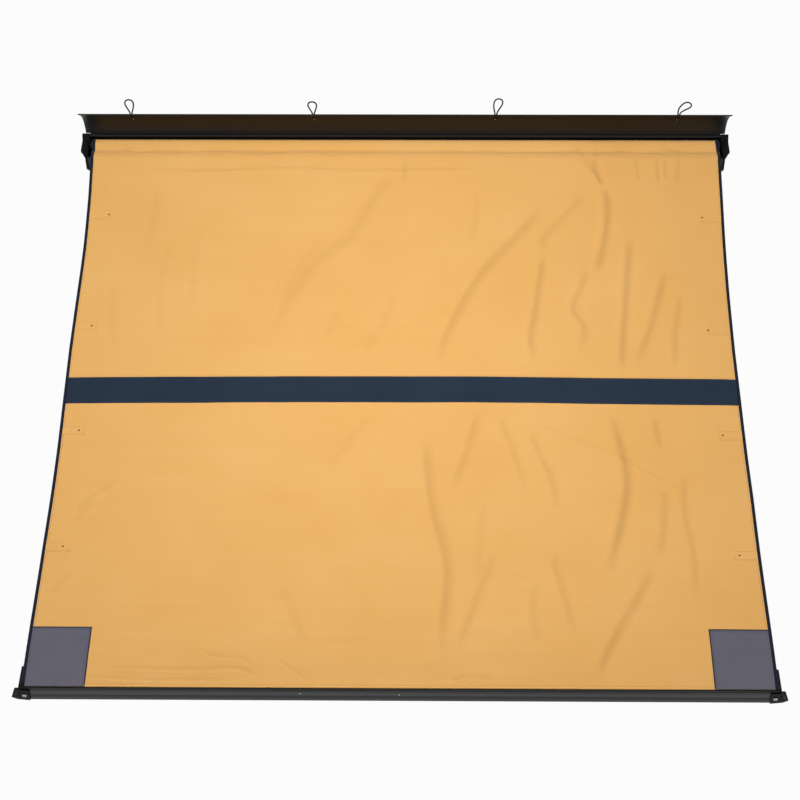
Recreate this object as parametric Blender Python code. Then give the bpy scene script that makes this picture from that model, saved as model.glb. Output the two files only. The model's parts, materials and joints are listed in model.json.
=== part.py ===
"""Vehicle side awning: a cassette with a spring roller, a lead rail with folding legs and rafters.

Metres, +Z up. X runs along the awning, +Y points at the vehicle, and the origin is the middle of
the housing's back face, where it bolts to a roof rack. The awning stands open as photographed:
lid up, canopy pulled out, legs and rafters folded away inside the lead rail.
"""

import math

import bmesh
import bpy
from mathutils import Matrix, Vector

# Driving dimensions of the canopy
CANOPY_WIDTH = 2.130
CANOPY_THICKNESS = 0.0012
CANOPY_CROWN = 0.010
STRIP_START = 0.835
STRIP_WIDTH = 0.098
PIPING_WIDTH = 0.010
PIPING_THICKNESS = 0.0040
PATCH_WIDTH = 0.170
PATCH_DEPTH = 0.1955
PATCH_THICKNESS = 0.0008
PROJECTION = 1.948
DROP = 0.365
SAG_DEPTH = 0.0745
SAG_SHAPE = ((0.0, 0.0), (0.08, 0.48), (0.17, 0.886), (0.32, 1.0), (0.57, 0.987),
             (0.76, 0.611), (0.94, 0.08), (1.0, 0.0))
CANOPY_SIDE_ROOM = 0.0095
HEM_TURN = 0.0012
LIP_SHARE = 0.06
WRAP_START = -20.0

# Driving dimensions of the housing
HOUSING_DEPTH = 0.112
HOUSING_FLOOR = -0.040
BACK_TOP = 0.0485
LIP_HEIGHT = 0.0385
LIP_RADIUS = 0.0045
CORNER_CUT = 0.034
WALL = 0.0025
SLOT_MOUTH = 0.009
SLOT_WIDTH = 0.017
SLOT_DEPTH = 0.0085
SLOT_LIP = 0.0025
SLOT_HEIGHT = 0.024
LOWER_SLOT_HEIGHT = -0.024
END_CAP_THICKNESS = 0.026
END_CAP_RIM = 0.003
END_CAP_FLOOR = 0.005
END_CAP_STEP = 0.004
END_CAP_SKIRT = 0.002
END_CAP_NECK = 0.015
END_CAP_TOP_RADIUS = 0.010
END_CAP_TAPER = 0.019
END_CAP_TAPER_BACK = 0.035
END_CAP_TAPER_DEPTH = 0.040
BOSS_WALL = 0.0032
SEAT_INSET = 0.003
ROD_END_ROOM = 0.001
ROD_SEAT = 0.0175

# Driving dimensions of the lid
HINGE_Y = -0.0125
HINGE_Z = 0.0560
HINGE_ROD_RADIUS = 0.0028
HINGE_BARREL_WALL = 0.0022
LID_REACH = 0.124
LID_ARCH = 0.018
LID_LEAN = math.radians(19.0)
LID_THICKNESS = 0.0022
LID_LIP_RADIUS = 0.0022
LID_OVERHANG = -0.003
LOOP_PITCH = 0.612
LOOP_COUNT = 4
LOOP_WIDTH = 0.039
LOOP_HEIGHT = 0.058
LOOP_CORD = 0.0048
LOOP_TURNS = (-4.0, -3.0, 11.0, 34.0)
LOOP_TIPS = (0.0, -0.18, 0.16, 0.0)
LOOP_FOOT = 0.0056
LOOP_SEAT = 0.0006
LOOP_STEPS = 24
CAP_EAR_RADIUS = 0.0067
NOTCH_ROOM = 0.0035

# Driving dimensions of the roller
ROLLER_RADIUS = 0.020
ROLLER_WALL = 0.0015
ROLLER_Y = -0.038
ROLLER_Z = 0.0265
AXLE_RADIUS = 0.0040
AXLE_LENGTH = 0.018
ROLLER_END_ROOM = 0.004
PLUG_LENGTH = 0.030
PLUG_FLANGE = 0.0015
BUSH_WALL = 0.0025
BEARING_SEAT_WALL = 0.0035

# Driving dimensions of the lead rail
RAIL_OVERHANG = 0.0035
RAIL_DEPTH = 0.080
RAIL_HEIGHT = 0.052
RAIL_WALL = 0.0024
RAIL_WEB = 0.0020
RAIL_EDGE = 0.0006
WEB_SHORT = 0.0010
KEDER_BORE = 0.0036
KEDER_ROD = 0.0030
KEDER_SLOT = 0.0034
KEDER_BACK = 0.0050
KEDER_DOWN = 0.0062
KEDER_BLOCK = 0.0110
KEDER_BLOCK_HEIGHT = 0.0115
FACE_GROOVE_TOP = 0.0030
FACE_GROOVE_HEIGHT = 0.0026
FACE_GROOVE_DEPTH = 0.0016
CHEEK_INBOARD = 0.0245
CHEEK_OUTBOARD = 0.0265
CHEEK_THICKNESS = 0.0035
END_PLATE = 0.0040
END_PLATE_INSET = 0.0030
RAFTER_EYE_RADIUS = 0.0075
EAR_PLATE = 0.0030
EAR_ROOM = 0.0016
BLIND_HOLE = {"out": 0.0030, "down": 0.0150, "radius": 0.0030, "deep": 0.0028}
LASH_HOLE = {"out": 0.0155, "down": 0.0280, "radius": 0.0026, "deep": 0.0200}

# Driving dimensions of the legs
LEG_TUBES = (0.0100, 0.0085, 0.0070)
LEG_TUBE_WALL = 0.0011
LEG_FOLDED = 0.8450
LEG_AXIS_DOWN = 0.0285
LEG_LANE_GAP = 0.0005
PIVOT_INBOARD = 0.0110
PIVOT_BOLT = 0.0040
PIVOT_HEAD_RADIUS = 0.0060
PIVOT_HEAD_HEIGHT = 0.0032
RAFTER_BOLT = 0.0032
RAFTER_HEAD_RADIUS = 0.0052
RAFTER_HEAD_HEIGHT = 0.0018
RAFTER_BOLT_PROUD = 0.0012
LEG_EYE_REACH = 0.0160
LEG_EYE_WIDTH = 0.0170
LEG_EYE_PLUG = 0.0260
MIDDLE_TUBE_START = 0.050
INNER_TUBE_START = 0.060
TUBE_END_ROOM = 0.0010
FOOT_LENGTH = 0.020
FOOT_RADIUS = 0.0100
PEG_LUG_RADIUS = 0.0095
PEG_LUG_DOWN = 0.0265
PEG_HOLE = 0.0040
PEG_LUG_THICKNESS = 0.0040
PEG_HOLE_DROP = 0.0035
FOOT_PLUG = 0.0125
FOOT_EDGE = 0.0020

# Driving dimensions of the clamps on legs and rafters
CLAMP_WALL = 0.0018
CLAMP_NOSE = 0.0060
CLAMP_EDGE = 0.0006
LEVER_LENGTH = 0.0250
LEVER_THICKNESS = 0.0036
LEVER_WIDTH = 0.0180
LEVER_EDGE = 0.0010
EAR_WIDTH = 0.0020

# Driving dimensions of the rafters
RAFTER_TUBES = (0.0080, 0.0065)
RAFTER_TUBE_WALL = 0.0011
RAFTER_FOLDED = 1.0450
RAFTER_HEIGHTS = {"left": 0.0170, "right": 0.0362}
RAFTER_LEVER_WIDTH = 0.0140
RAFTER_TIP_LENGTH = 0.034
TIP_SLEEVE_WALL = 0.0009
TONGUE_THICKNESS = 0.0080
TONGUE_REACH = 0.0160
TONGUE_WIDTH = 0.0130
TONGUE_PLUG = 0.0100
TIP_PLUG = 0.0105
TIP_SLEEVE = 0.0120
TIP_EDGE = 0.0020
SOCKET_FORWARD = 0.100
SOCKET_DOWN = 0.132
SOCKET_WALL = 0.0035
SOCKET_DEPTH = 0.016
SOCKET_PLATE = 0.0040
SOCKET_PLATE_FRONT = 0.072
SOCKET_PLATE_BACK = 0.018
SOCKET_HEAD = 0.0060
SOCKET_SEAT = 0.0015
SOCKET_ROOM = 0.0012
STEM_DEPTH = 0.020
STEM_KNEE = 0.030

# Clearances between pieces
TOUCH = 0.0003
RUN = 0.0004
CLOTH_GAP = 0.0005
CUT_OVER = 0.002

ROUND = 16


def hand(side):
    """Which way along X a side of the awning lies."""
    return -1.0 if side == "left" else 1.0


SIDES = {side: hand(side) for side in ("left", "right")}

# Sizes worked out from those above
LIP_TOP = Vector((0.0, -HOUSING_DEPTH, LIP_HEIGHT + CANOPY_THICKNESS + CLOTH_GAP))
GROOVE = LIP_TOP + Vector((0.0, -PROJECTION, -DROP))
PANEL_HALF = CANOPY_WIDTH / 2 - PIPING_WIDTH - TOUCH
TROUGH_HALF = CANOPY_WIDTH / 2 + CANOPY_SIDE_ROOM
CAP_OUTER = TROUGH_HALF + TOUCH + END_CAP_THICKNESS
RAIL_HALF = CANOPY_WIDTH / 2 + RAIL_OVERHANG
RAIL_FRONT = GROOVE.y - KEDER_BACK
RAIL_TOP = GROOVE.z - CANOPY_THICKNESS / 2
CLAMP_RADIUS = LEG_TUBES[0] + TOUCH + CLAMP_WALL
LANES = {"left": RAIL_WALL + LEG_LANE_GAP + CLAMP_RADIUS,
         "right": RAIL_WALL + 2 * LEG_LANE_GAP + 3 * CLAMP_RADIUS}
WEB_FRONT = LANES["right"] + CLAMP_RADIUS + LEG_LANE_GAP
RAFTER_CLAMP_RADIUS = RAFTER_TUBES[0] + TOUCH + CLAMP_WALL
RAFTER_LANE = WEB_FRONT + RAIL_WEB + LEG_LANE_GAP + RAFTER_CLAMP_RADIUS
PIVOT_X = RAIL_HALF - PIVOT_INBOARD
SOCKET_POINT = {side: Vector((sign * PIVOT_X, -SOCKET_FORWARD, -SOCKET_DOWN))
                for side, sign in SIDES.items()}


def clear_scene():
    """Remove what the file opened with."""
    for item in list(bpy.data.objects):
        bpy.data.objects.remove(item, do_unlink=True)


def material(name, colour, roughness, metallic=0.0):
    """One Principled material; the colour is linear."""
    made = bpy.data.materials.new(name)
    made.use_nodes = True
    shader = made.node_tree.nodes["Principled BSDF"]
    shader.inputs["Base Color"].default_value = (*colour, 1.0)
    shader.inputs["Roughness"].default_value = roughness
    shader.inputs["Metallic"].default_value = metallic
    return made


def make_materials():
    """The finishes seen on the awning."""
    return {
        "black_aluminium": material("black_aluminium", (0.022, 0.020, 0.019), 0.45, 0.4),
        "grey_aluminium": material("grey_aluminium", (0.036, 0.037, 0.038), 0.42, 0.4),
        "black_nylon": material("black_nylon", (0.012, 0.012, 0.013), 0.55),
        "steel": material("steel", (0.62, 0.60, 0.57), 0.25, 1.0),
        "tube": material("tube", (0.42, 0.42, 0.43), 0.35, 0.9),
        "ochre_fabric": material("ochre_fabric", (0.80, 0.44, 0.15), 0.85),
        "navy_fabric": material("navy_fabric", (0.024, 0.038, 0.072), 0.85),
        "grey_fabric": material("grey_fabric", (0.112, 0.105, 0.135), 0.85),
        "piping": material("piping", (0.010, 0.015, 0.030), 0.80),
        "elastic": material("elastic", (0.010, 0.010, 0.011), 0.75),
        "rubber": material("rubber", (0.015, 0.015, 0.016), 0.80),
    }


def add_object(name, mesh_builder, finish=None, parent=None, place=None, smooth=True):
    """Turn a bmesh into a named object, faces pointing out."""
    bmesh.ops.remove_doubles(mesh_builder, verts=mesh_builder.verts, dist=0.000002)
    bmesh.ops.recalc_face_normals(mesh_builder, faces=mesh_builder.faces)
    mesh = bpy.data.meshes.new(name)
    mesh_builder.to_mesh(mesh)
    mesh_builder.free()
    if smooth:
        mesh.shade_smooth()
        mesh.set_sharp_from_angle(angle=math.radians(35))
    made = bpy.data.objects.new(name, mesh)
    bpy.context.collection.objects.link(made)
    if finish is not None:
        mesh.materials.append(finish)
    if parent is not None:
        made.parent = parent
    if place is not None:
        made.location = place
    return made


def add_empty(name, place, parent=None, turn=None):
    """An axis that moving pieces hang from."""
    made = bpy.data.objects.new(name, None)
    made.empty_display_size = 0.03
    bpy.context.collection.objects.link(made)
    made.location = place
    if turn is not None:
        made.rotation_euler = turn
    if parent is not None:
        made.parent = parent
    return made


def helper_of(target, name, mesh_builder, operation):
    """Cut a helper shape from the target, or join it on, with an exact Boolean."""
    helper = add_object(name, mesh_builder, parent=target, smooth=False)
    helper.hide_render = True
    helper.display_type = "WIRE"
    step = target.modifiers.new(name, "BOOLEAN")
    step.operation = operation
    step.solver = "EXACT"
    step.object = helper
    return helper


def cut(target, name, mesh_builder):
    return helper_of(target, name, mesh_builder, "DIFFERENCE")


def join(target, name, mesh_builder):
    return helper_of(target, name, mesh_builder, "UNION")


def along_x(outline, start, end):
    """A bar of the (y, z) outline from start to end along X."""
    shape = bmesh.new()
    ring = [shape.verts.new((start, y, z)) for y, z in outline]
    face = shape.faces.new(ring)
    grown = bmesh.ops.extrude_face_region(shape, geom=[face])
    moved = [item for item in grown["geom"] if isinstance(item, bmesh.types.BMVert)]
    bmesh.ops.translate(shape, verts=moved, vec=(end - start, 0.0, 0.0))
    return shape


def along_y(outline, start, end):
    """A plate of the (x, z) outline from start to end along Y."""
    shape = bmesh.new()
    ring = [shape.verts.new((x, start, z)) for x, z in outline]
    face = shape.faces.new(ring)
    grown = bmesh.ops.extrude_face_region(shape, geom=[face])
    moved = [item for item in grown["geom"] if isinstance(item, bmesh.types.BMVert)]
    bmesh.ops.translate(shape, verts=moved, vec=(0.0, end - start, 0.0))
    return shape


def along_z(outline, start, end):
    """A plate of the (x, y) outline from start to end along Z."""
    shape = bmesh.new()
    ring = [shape.verts.new((x, y, start)) for x, y in outline]
    face = shape.faces.new(ring)
    grown = bmesh.ops.extrude_face_region(shape, geom=[face])
    moved = [item for item in grown["geom"] if isinstance(item, bmesh.types.BMVert)]
    bmesh.ops.translate(shape, verts=moved, vec=(0.0, 0.0, end - start))
    return shape


def block(low, high):
    """A box between two corners."""
    outline = ((low[1], low[2]), (high[1], low[2]), (high[1], high[2]), (low[1], high[2]))
    return along_x(outline, low[0], high[0])


def turned(profile, turns=ROUND, closed=True):
    """A shape turned about X from (x, radius) points."""
    shape = bmesh.new()
    verts = [shape.verts.new((x, 0.0, radius)) for x, radius in profile]
    edges = [shape.edges.new(pair) for pair in zip(verts, verts[1:])]
    if closed:
        edges.append(shape.edges.new((verts[-1], verts[0])))
    bmesh.ops.spin(shape, geom=verts + edges, cent=(0, 0, 0), axis=(1, 0, 0),
                   angle=math.tau, steps=turns, use_merge=True)
    bmesh.ops.remove_doubles(shape, verts=shape.verts, dist=0.000002)
    return shape


def rod(start, end, radius, turns=ROUND):
    """A solid round bar along X."""
    return turned(((start, 0.0), (start, radius), (end, radius), (end, 0.0)), turns, closed=False)


def pipe(start, end, radius, bore, turns=ROUND):
    """A round tube along X."""
    return turned(((start, bore), (start, radius), (end, radius), (end, bore)), turns)


def aim(shape, matrix):
    """Move a bmesh by a matrix."""
    bmesh.ops.transform(shape, matrix=matrix, verts=shape.verts)
    return shape


def arc(centre, radius, start, end, steps):
    """Points on an arc in degrees, ends included."""
    points = []
    for step in range(steps + 1):
        angle = math.radians(start + (end - start) * step / steps)
        points.append((centre[0] + radius * math.cos(angle), centre[1] + radius * math.sin(angle)))
    return points


X_TO_Y = Matrix.Rotation(math.radians(90), 4, "Z")
X_TO_Z = Matrix.Rotation(math.radians(-90), 4, "Y")


# Canopy surface

def sag_at(share):
    """How far the fabric hangs below the straight line, by a smooth curve through SAG_SHAPE."""
    last = len(SAG_SHAPE) - 1
    slopes = []
    for index in range(last + 1):
        before = SAG_SHAPE[max(index - 1, 0)]
        after = SAG_SHAPE[min(index + 1, last)]
        slopes.append((after[1] - before[1]) / (after[0] - before[0]))
    for index in range(last):
        low, high = SAG_SHAPE[index], SAG_SHAPE[index + 1]
        if share <= high[0] or index == last - 1:
            width = high[0] - low[0]
            t = (share - low[0]) / width
            level = low[1] * (2 * t ** 3 - 3 * t ** 2 + 1) + high[1] * (3 * t ** 2 - 2 * t ** 3)
            level += width * (slopes[index] * (t ** 3 - 2 * t ** 2 + t)
                              + slopes[index + 1] * (t ** 3 - t ** 2))
            return SAG_DEPTH * level


def canopy_point(x, share):
    """Middle of the cloth at a place across and a share of the way from the lip to the rail."""
    y = LIP_TOP.y - PROJECTION * share
    crown = CANOPY_CROWN * (1 - (2 * x / CANOPY_WIDTH) ** 2) * 4 * share * (1 - share)
    return Vector((x, y, LIP_TOP.z - DROP * share - sag_at(share) + crown))


def cloth(columns, rows, thickness, lift=0.0):
    """A closed sheet through a grid of rows, each a function of x."""
    shape = bmesh.new()
    faces_up, faces_down = [], []
    count = len(rows)
    for index in range(count):
        up_row, down_row = [], []
        for x in columns:
            here = rows[index](x)
            before = rows[max(index - 1, 0)](x)
            after = rows[min(index + 1, count - 1)](x)
            way = (after - before).normalized()
            normal = Vector((0.0, way.z, -way.y))
            middle = here + normal * lift
            up_row.append(shape.verts.new(middle + normal * thickness / 2))
            down_row.append(shape.verts.new(middle - normal * thickness / 2))
        faces_up.append(up_row)
        faces_down.append(down_row)
    for grid in (faces_up, faces_down):
        for row, following in zip(grid, grid[1:]):
            for a, b, c, d in zip(row, row[1:], following[1:], following):
                shape.faces.new((a, b, c, d))
    edge_up = (faces_up[0] + [row[-1] for row in faces_up[1:]] + faces_up[-1][-2::-1]
               + [row[0] for row in faces_up[-2:0:-1]])
    edge_down = (faces_down[0] + [row[-1] for row in faces_down[1:]] + faces_down[-1][-2::-1]
                 + [row[0] for row in faces_down[-2:0:-1]])
    for a, b, c, d in zip(edge_up, edge_up[1:] + edge_up[:1],
                          edge_down[1:] + edge_down[:1], edge_down):
        shape.faces.new((a, b, c, d))
    return shape


def spread(start, end, steps):
    return [start + (end - start) * step / steps for step in range(steps + 1)]


def wrap_rows(thickness):
    """The turn of cloth left on the roller, from behind it to where it leaves for the lip."""
    radius = ROLLER_RADIUS + CLOTH_GAP + thickness / 2
    to_lip = LIP_TOP - Vector((0.0, ROLLER_Y, ROLLER_Z))
    leaves = math.atan2(to_lip.z, to_lip.y) - math.acos(radius / to_lip.length)
    rows = []
    for y, z in arc((ROLLER_Y, ROLLER_Z), radius, WRAP_START, math.degrees(leaves), 10):
        rows.append(lambda x, y=y, z=z: Vector((x, y, z)))
    return rows


def share_rows(start, end, steps):
    return [lambda x, share=share: canopy_point(x, share) for share in spread(start, end, steps)]


def slot_row():
    """The front edge of the cloth, down in the rail's groove."""
    depth = KEDER_DOWN - KEDER_ROD - TOUCH - CANOPY_THICKNESS
    return [lambda x: Vector((x, GROOVE.y, RAIL_TOP - depth))]


def seam(share, side):
    """A share of the way moved off a seam by half its gap."""
    return share + side * TOUCH / 2 / PROJECTION


def make_canopy(finish):
    """Three panels, two corner patches and the two edge pipings."""
    columns = spread(-PANEL_HALF, PANEL_HALF, 16)
    strip_start = STRIP_START / PROJECTION
    strip_end = (STRIP_START + STRIP_WIDTH) / PROJECTION
    patch_start = 1 - PATCH_DEPTH / PROJECTION
    slot_share = 1 - HEM_TURN / PROJECTION

    rear_rows = wrap_rows(CANOPY_THICKNESS) + share_rows(0.0, LIP_SHARE, 3)
    rear_rows += share_rows(LIP_SHARE * 1.5, seam(strip_start, -1), 7)
    add_object("canopy_rear_panel", cloth(columns, rear_rows, CANOPY_THICKNESS),
               finish["ochre_fabric"])

    strip_rows = share_rows(seam(strip_start, 1), seam(strip_end, -1), 2)
    add_object("canopy_middle_strip", cloth(columns, strip_rows, CANOPY_THICKNESS),
               finish["navy_fabric"])

    front_rows = share_rows(seam(strip_end, 1), patch_start, 7)
    front_rows += share_rows(patch_start, slot_share, 6)[1:] + slot_row()
    add_object("canopy_front_panel", cloth(columns, front_rows, CANOPY_THICKNESS),
               finish["ochre_fabric"])

    patch_rows = share_rows(patch_start, slot_share, 6)[:-1]
    patch_lift = (CANOPY_THICKNESS + PATCH_THICKNESS) / 2 + CLOTH_GAP
    piping_lift = (PIPING_THICKNESS - CANOPY_THICKNESS) / 2
    piping_rows = wrap_rows(CANOPY_THICKNESS) + share_rows(0.0, LIP_SHARE, 3)
    piping_rows += share_rows(LIP_SHARE * 1.5, slot_share, 16)
    for side, sign in SIDES.items():
        edges = sorted((sign * PANEL_HALF, sign * (PANEL_HALF - PATCH_WIDTH)))
        add_object(f"corner_patch_{side}",
                   cloth(spread(*edges, 3), patch_rows, PATCH_THICKNESS, patch_lift),
                   finish["grey_fabric"])
        edges = sorted((sign * (PANEL_HALF + TOUCH), sign * CANOPY_WIDTH / 2))
        add_object(f"edge_piping_{side}",
                   cloth(spread(*edges, 1), piping_rows, PIPING_THICKNESS, piping_lift),
                   finish["piping"])


# Housing

def rack_slot(height):
    """A tee slot in the back face, read downwards."""
    mouth, wide = SLOT_MOUTH / 2, SLOT_WIDTH / 2
    return [(0.0, height + mouth), (-SLOT_LIP, height + mouth), (-SLOT_LIP, height + wide),
            (-SLOT_DEPTH, height + wide), (-SLOT_DEPTH, height - wide), (-SLOT_LIP, height - wide),
            (-SLOT_LIP, height - mouth), (0.0, height - mouth)]


def slot_back(height):
    """The inside of the back wall round a tee slot, read upwards."""
    wide = SLOT_WIDTH / 2 + WALL
    deep = SLOT_DEPTH + WALL
    return [(-WALL, height - wide), (-deep, height - wide), (-deep, height + wide),
            (-WALL, height + wide)]


def make_trough(finish):
    """The extrusion: back wall with two tee slots, floor, front wall and the lip."""
    front = -HOUSING_DEPTH
    outline = [(0.0, BACK_TOP)] + rack_slot(SLOT_HEIGHT) + rack_slot(LOWER_SLOT_HEIGHT)
    outline += [(0.0, HOUSING_FLOOR), (front + CORNER_CUT, HOUSING_FLOOR),
                (front, HOUSING_FLOOR + CORNER_CUT)]
    outline += arc((front + LIP_RADIUS * 0.2, LIP_HEIGHT - LIP_RADIUS), LIP_RADIUS, 205, -25, 8)
    inner = front + WALL
    inner_cut = CORNER_CUT + WALL * math.tan(math.radians(22.5))
    outline += [(inner, LIP_HEIGHT - 2.4 * LIP_RADIUS), (inner, HOUSING_FLOOR + inner_cut)]
    outline += [(front + inner_cut, HOUSING_FLOOR + WALL), (-WALL, HOUSING_FLOOR + WALL)]
    outline += slot_back(LOWER_SLOT_HEIGHT) + slot_back(SLOT_HEIGHT) + [(-WALL, BACK_TOP)]
    add_object("housing_trough", along_x(outline, -TROUGH_HALF, TROUGH_HALF),
               finish["black_aluminium"])


def end_cap_outline():
    """The closing plate's outline: the trough's section with an ear for the hinge rod."""
    front = -HOUSING_DEPTH - END_CAP_STEP
    floor = HOUSING_FLOOR - END_CAP_SKIRT
    top = END_CAP_TOP_RADIUS
    outline = [(0.0, floor), (0.0, BACK_TOP)]
    outline += arc((HINGE_Y, HINGE_Z), CAP_EAR_RADIUS, 20, 160, 6)
    outline += [(HINGE_Y - END_CAP_NECK, BACK_TOP - END_CAP_SKIRT * 2)]
    outline += arc((front + top, LIP_HEIGHT + TOUCH - top), top, 90, 180, 4)
    return outline + [(front, floor + CORNER_CUT), (front + CORNER_CUT, floor)]


def taper(shape, inner_x, sign):
    """Draw the cap's lower front corner in, along a slope that falls towards the front."""
    slope = Vector((0.0, 1.0, 1.0))
    begin = Vector((0.0, -HOUSING_DEPTH + END_CAP_TAPER_BACK, LIP_HEIGHT))
    for depth in (0.0, END_CAP_TAPER_DEPTH):
        whole = shape.verts[:] + shape.edges[:] + shape.faces[:]
        bmesh.ops.bisect_plane(shape, geom=whole, plane_no=slope,
                               plane_co=begin - Vector((0.0, 0.0, depth)))
    for vert in shape.verts:
        below = -(vert.co - begin).dot(slope)
        if below > 0 and abs(vert.co.x - inner_x) > TOUCH:
            vert.co.x -= sign * END_CAP_TAPER * min(1.0, below / END_CAP_TAPER_DEPTH)


def shelled_cap(sign):
    """The cap as a shallow moulded shell, open towards the trough."""
    shape = bmesh.new()
    inner_x = sign * (TROUGH_HALF + TOUCH)
    ring = [shape.verts.new((inner_x, y, z)) for y, z in end_cap_outline()]
    face = shape.faces.new(ring)
    outer = bmesh.ops.extrude_face_region(shape, geom=[face], use_keep_orig=True)
    moved = [item for item in outer["geom"] if isinstance(item, bmesh.types.BMVert)]
    bmesh.ops.translate(shape, verts=moved, vec=(sign * END_CAP_THICKNESS, 0.0, 0.0))
    bmesh.ops.recalc_face_normals(shape, faces=shape.faces)
    mouth = [f for f in shape.faces if all(abs(v.co.x - inner_x) < 0.000001 for v in f.verts)]
    bmesh.ops.inset_region(shape, faces=mouth, thickness=END_CAP_RIM, use_even_offset=True)
    pushed = bmesh.ops.extrude_discrete_faces(shape, faces=mouth)["faces"]
    verts = {vert for f in pushed for vert in f.verts}
    bmesh.ops.translate(shape, verts=list(verts),
                        vec=(sign * (END_CAP_THICKNESS - END_CAP_FLOOR), 0.0, 0.0))
    taper(shape, inner_x, sign)
    return shape


def make_end_cap(side, sign, finish):
    """A cap with the hinge rod's hole and the roller's bearing seat."""
    cap = add_object(f"end_cap_{side}", shelled_cap(sign), finish["black_nylon"])
    floor_x = TROUGH_HALF + TOUCH + END_CAP_THICKNESS - END_CAP_FLOOR
    seat_bore = AXLE_RADIUS + RUN + BUSH_WALL + TOUCH
    seat_start = TROUGH_HALF + TOUCH + SEAT_INSET
    seat = pipe(seat_start, floor_x + CUT_OVER, seat_bore + BEARING_SEAT_WALL, seat_bore)
    flip = Matrix.Scale(sign, 4, (1, 0, 0))
    place = Matrix.Translation((0.0, ROLLER_Y, ROLLER_Z))
    join(cap, f"seat_{side}", aim(seat, place @ flip))
    boss = rod(seat_start, floor_x + CUT_OVER, HINGE_ROD_RADIUS + TOUCH + BOSS_WALL)
    hinge = Matrix.Translation((0.0, HINGE_Y, HINGE_Z))
    join(cap, f"rod_boss_{side}", aim(boss, hinge @ flip))
    hole = rod(TROUGH_HALF - CUT_OVER, TROUGH_HALF + ROD_SEAT + ROD_END_ROOM,
               HINGE_ROD_RADIUS + TOUCH, 16)
    cut(cap, f"rod_hole_{side}", aim(hole, hinge @ flip))
    bush = pipe(seat_start, floor_x - TOUCH, seat_bore - TOUCH, AXLE_RADIUS + RUN, 16)
    add_object(f"roller_bush_{side}", aim(bush, flip), finish["black_nylon"],
               place=(0.0, ROLLER_Y, ROLLER_Z))


def make_hinge_rod(finish):
    """The steel rod that the lid turns on, seated in both caps."""
    half = TROUGH_HALF + ROD_SEAT
    add_object("lid_hinge_rod", rod(-half, half, HINGE_ROD_RADIUS, 16), finish["steel"],
               place=(0.0, HINGE_Y, HINGE_Z))


def make_socket(side, sign, finish):
    """The cup under the housing that a swung-out rafter plugs into."""
    way, _, _ = rafter_line(side)
    bore = RAFTER_TUBES[1] + SOCKET_ROOM
    cup_radius = bore + SOCKET_WALL
    point = SOCKET_POINT[side]
    face = Matrix.Translation(point) @ way_matrix(way)
    cup = turned(((SOCKET_SEAT, 0.0), (SOCKET_SEAT, bore), (-SOCKET_DEPTH, bore),
                  (-SOCKET_DEPTH, cup_radius), (SOCKET_HEAD, cup_radius), (SOCKET_HEAD, 0.0)),
                 closed=False)
    socket = add_object(f"rafter_socket_{side}", aim(cup, face), finish["black_nylon"])
    inner, outer = point.x - cup_radius, point.x + cup_radius
    top = HOUSING_FLOOR - TOUCH
    lowest, highest = point.z - SOCKET_HEAD, point.z + SOCKET_HEAD
    stem = [(point.y + SOCKET_SEAT, lowest), (point.y + STEM_DEPTH, highest),
            (-SOCKET_PLATE_BACK, top - SOCKET_PLATE), (-SOCKET_PLATE_BACK, top),
            (-SOCKET_PLATE_FRONT, top), (-SOCKET_PLATE_FRONT, top - SOCKET_PLATE),
            (-SOCKET_PLATE_FRONT, top - STEM_KNEE), (point.y + SOCKET_SEAT, highest)]
    join(socket, f"socket_stem_{side}", along_x(stem, inner, outer))


def way_matrix(way):
    """The turn that lays local X along a direction in the YZ plane, with local Y level."""
    up = Vector((0.0, 0.0, 1.0))
    across = up.cross(way).normalized()
    lifted = way.cross(across).normalized()
    return Matrix((way, across, lifted)).transposed().to_4x4()


# Lid

def lid_frame():
    """Chord direction and outward direction of the open lid, as (y, z)."""
    return (-math.sin(LID_LEAN), math.cos(LID_LEAN)), (math.cos(LID_LEAN), math.sin(LID_LEAN))


def make_lid(finish):
    """The lid on its hinge axis, its lower corners cut away round the caps' ears."""
    axis = add_empty("lid_axis", (0.0, HINGE_Y, HINGE_Z))
    half = CAP_OUTER + LID_OVERHANG
    chord, out = lid_frame()
    bore = HINGE_ROD_RADIUS + RUN
    barrel = bore + HINGE_BARREL_WALL
    steps = 12
    lows, highs = [], []
    for step in range(steps + 1):
        t = step / steps
        along = LID_REACH * t
        arch = LID_ARCH * 4 * t * (1 - t) + (barrel - LID_THICKNESS / 2) * (1 - t)
        for row, offset in ((highs, LID_THICKNESS / 2), (lows, -LID_THICKNESS / 2)):
            row.append((chord[0] * along + out[0] * (arch + offset),
                        chord[1] * along + out[1] * (arch + offset)))
    tip_angle = math.degrees(math.atan2(chord[1], chord[0]))
    tip = arc((chord[0] * LID_REACH, chord[1] * LID_REACH), LID_LIP_RADIUS,
              tip_angle - 110, tip_angle + 110, 7)
    plate = highs[:-1] + tip + lows[-2::-1]
    lid = add_object("lid_shell", along_x(plate, -half, half), finish["black_aluminium"],
                     parent=axis)
    gap_start, gap_end = tip_angle + 150, tip_angle + 215
    ring = arc((0.0, 0.0), barrel, gap_end - 360, gap_start, 14)
    ring += arc((0.0, 0.0), bore, gap_start, gap_end - 360, 14)
    barrel_half = TROUGH_HALF - TOUCH
    join(lid, "hinge_barrel", along_x(ring, -barrel_half, barrel_half))
    notch = CAP_EAR_RADIUS + NOTCH_ROOM
    for side, sign in SIDES.items():
        start, end = sorted((sign * barrel_half, sign * (half + CUT_OVER)))
        circle = arc((0.0, 0.0), notch, 0, 337.5, 15)
        cut(lid, f"corner_notch_{side}", along_x(circle, start, end))
    return axis


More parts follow.
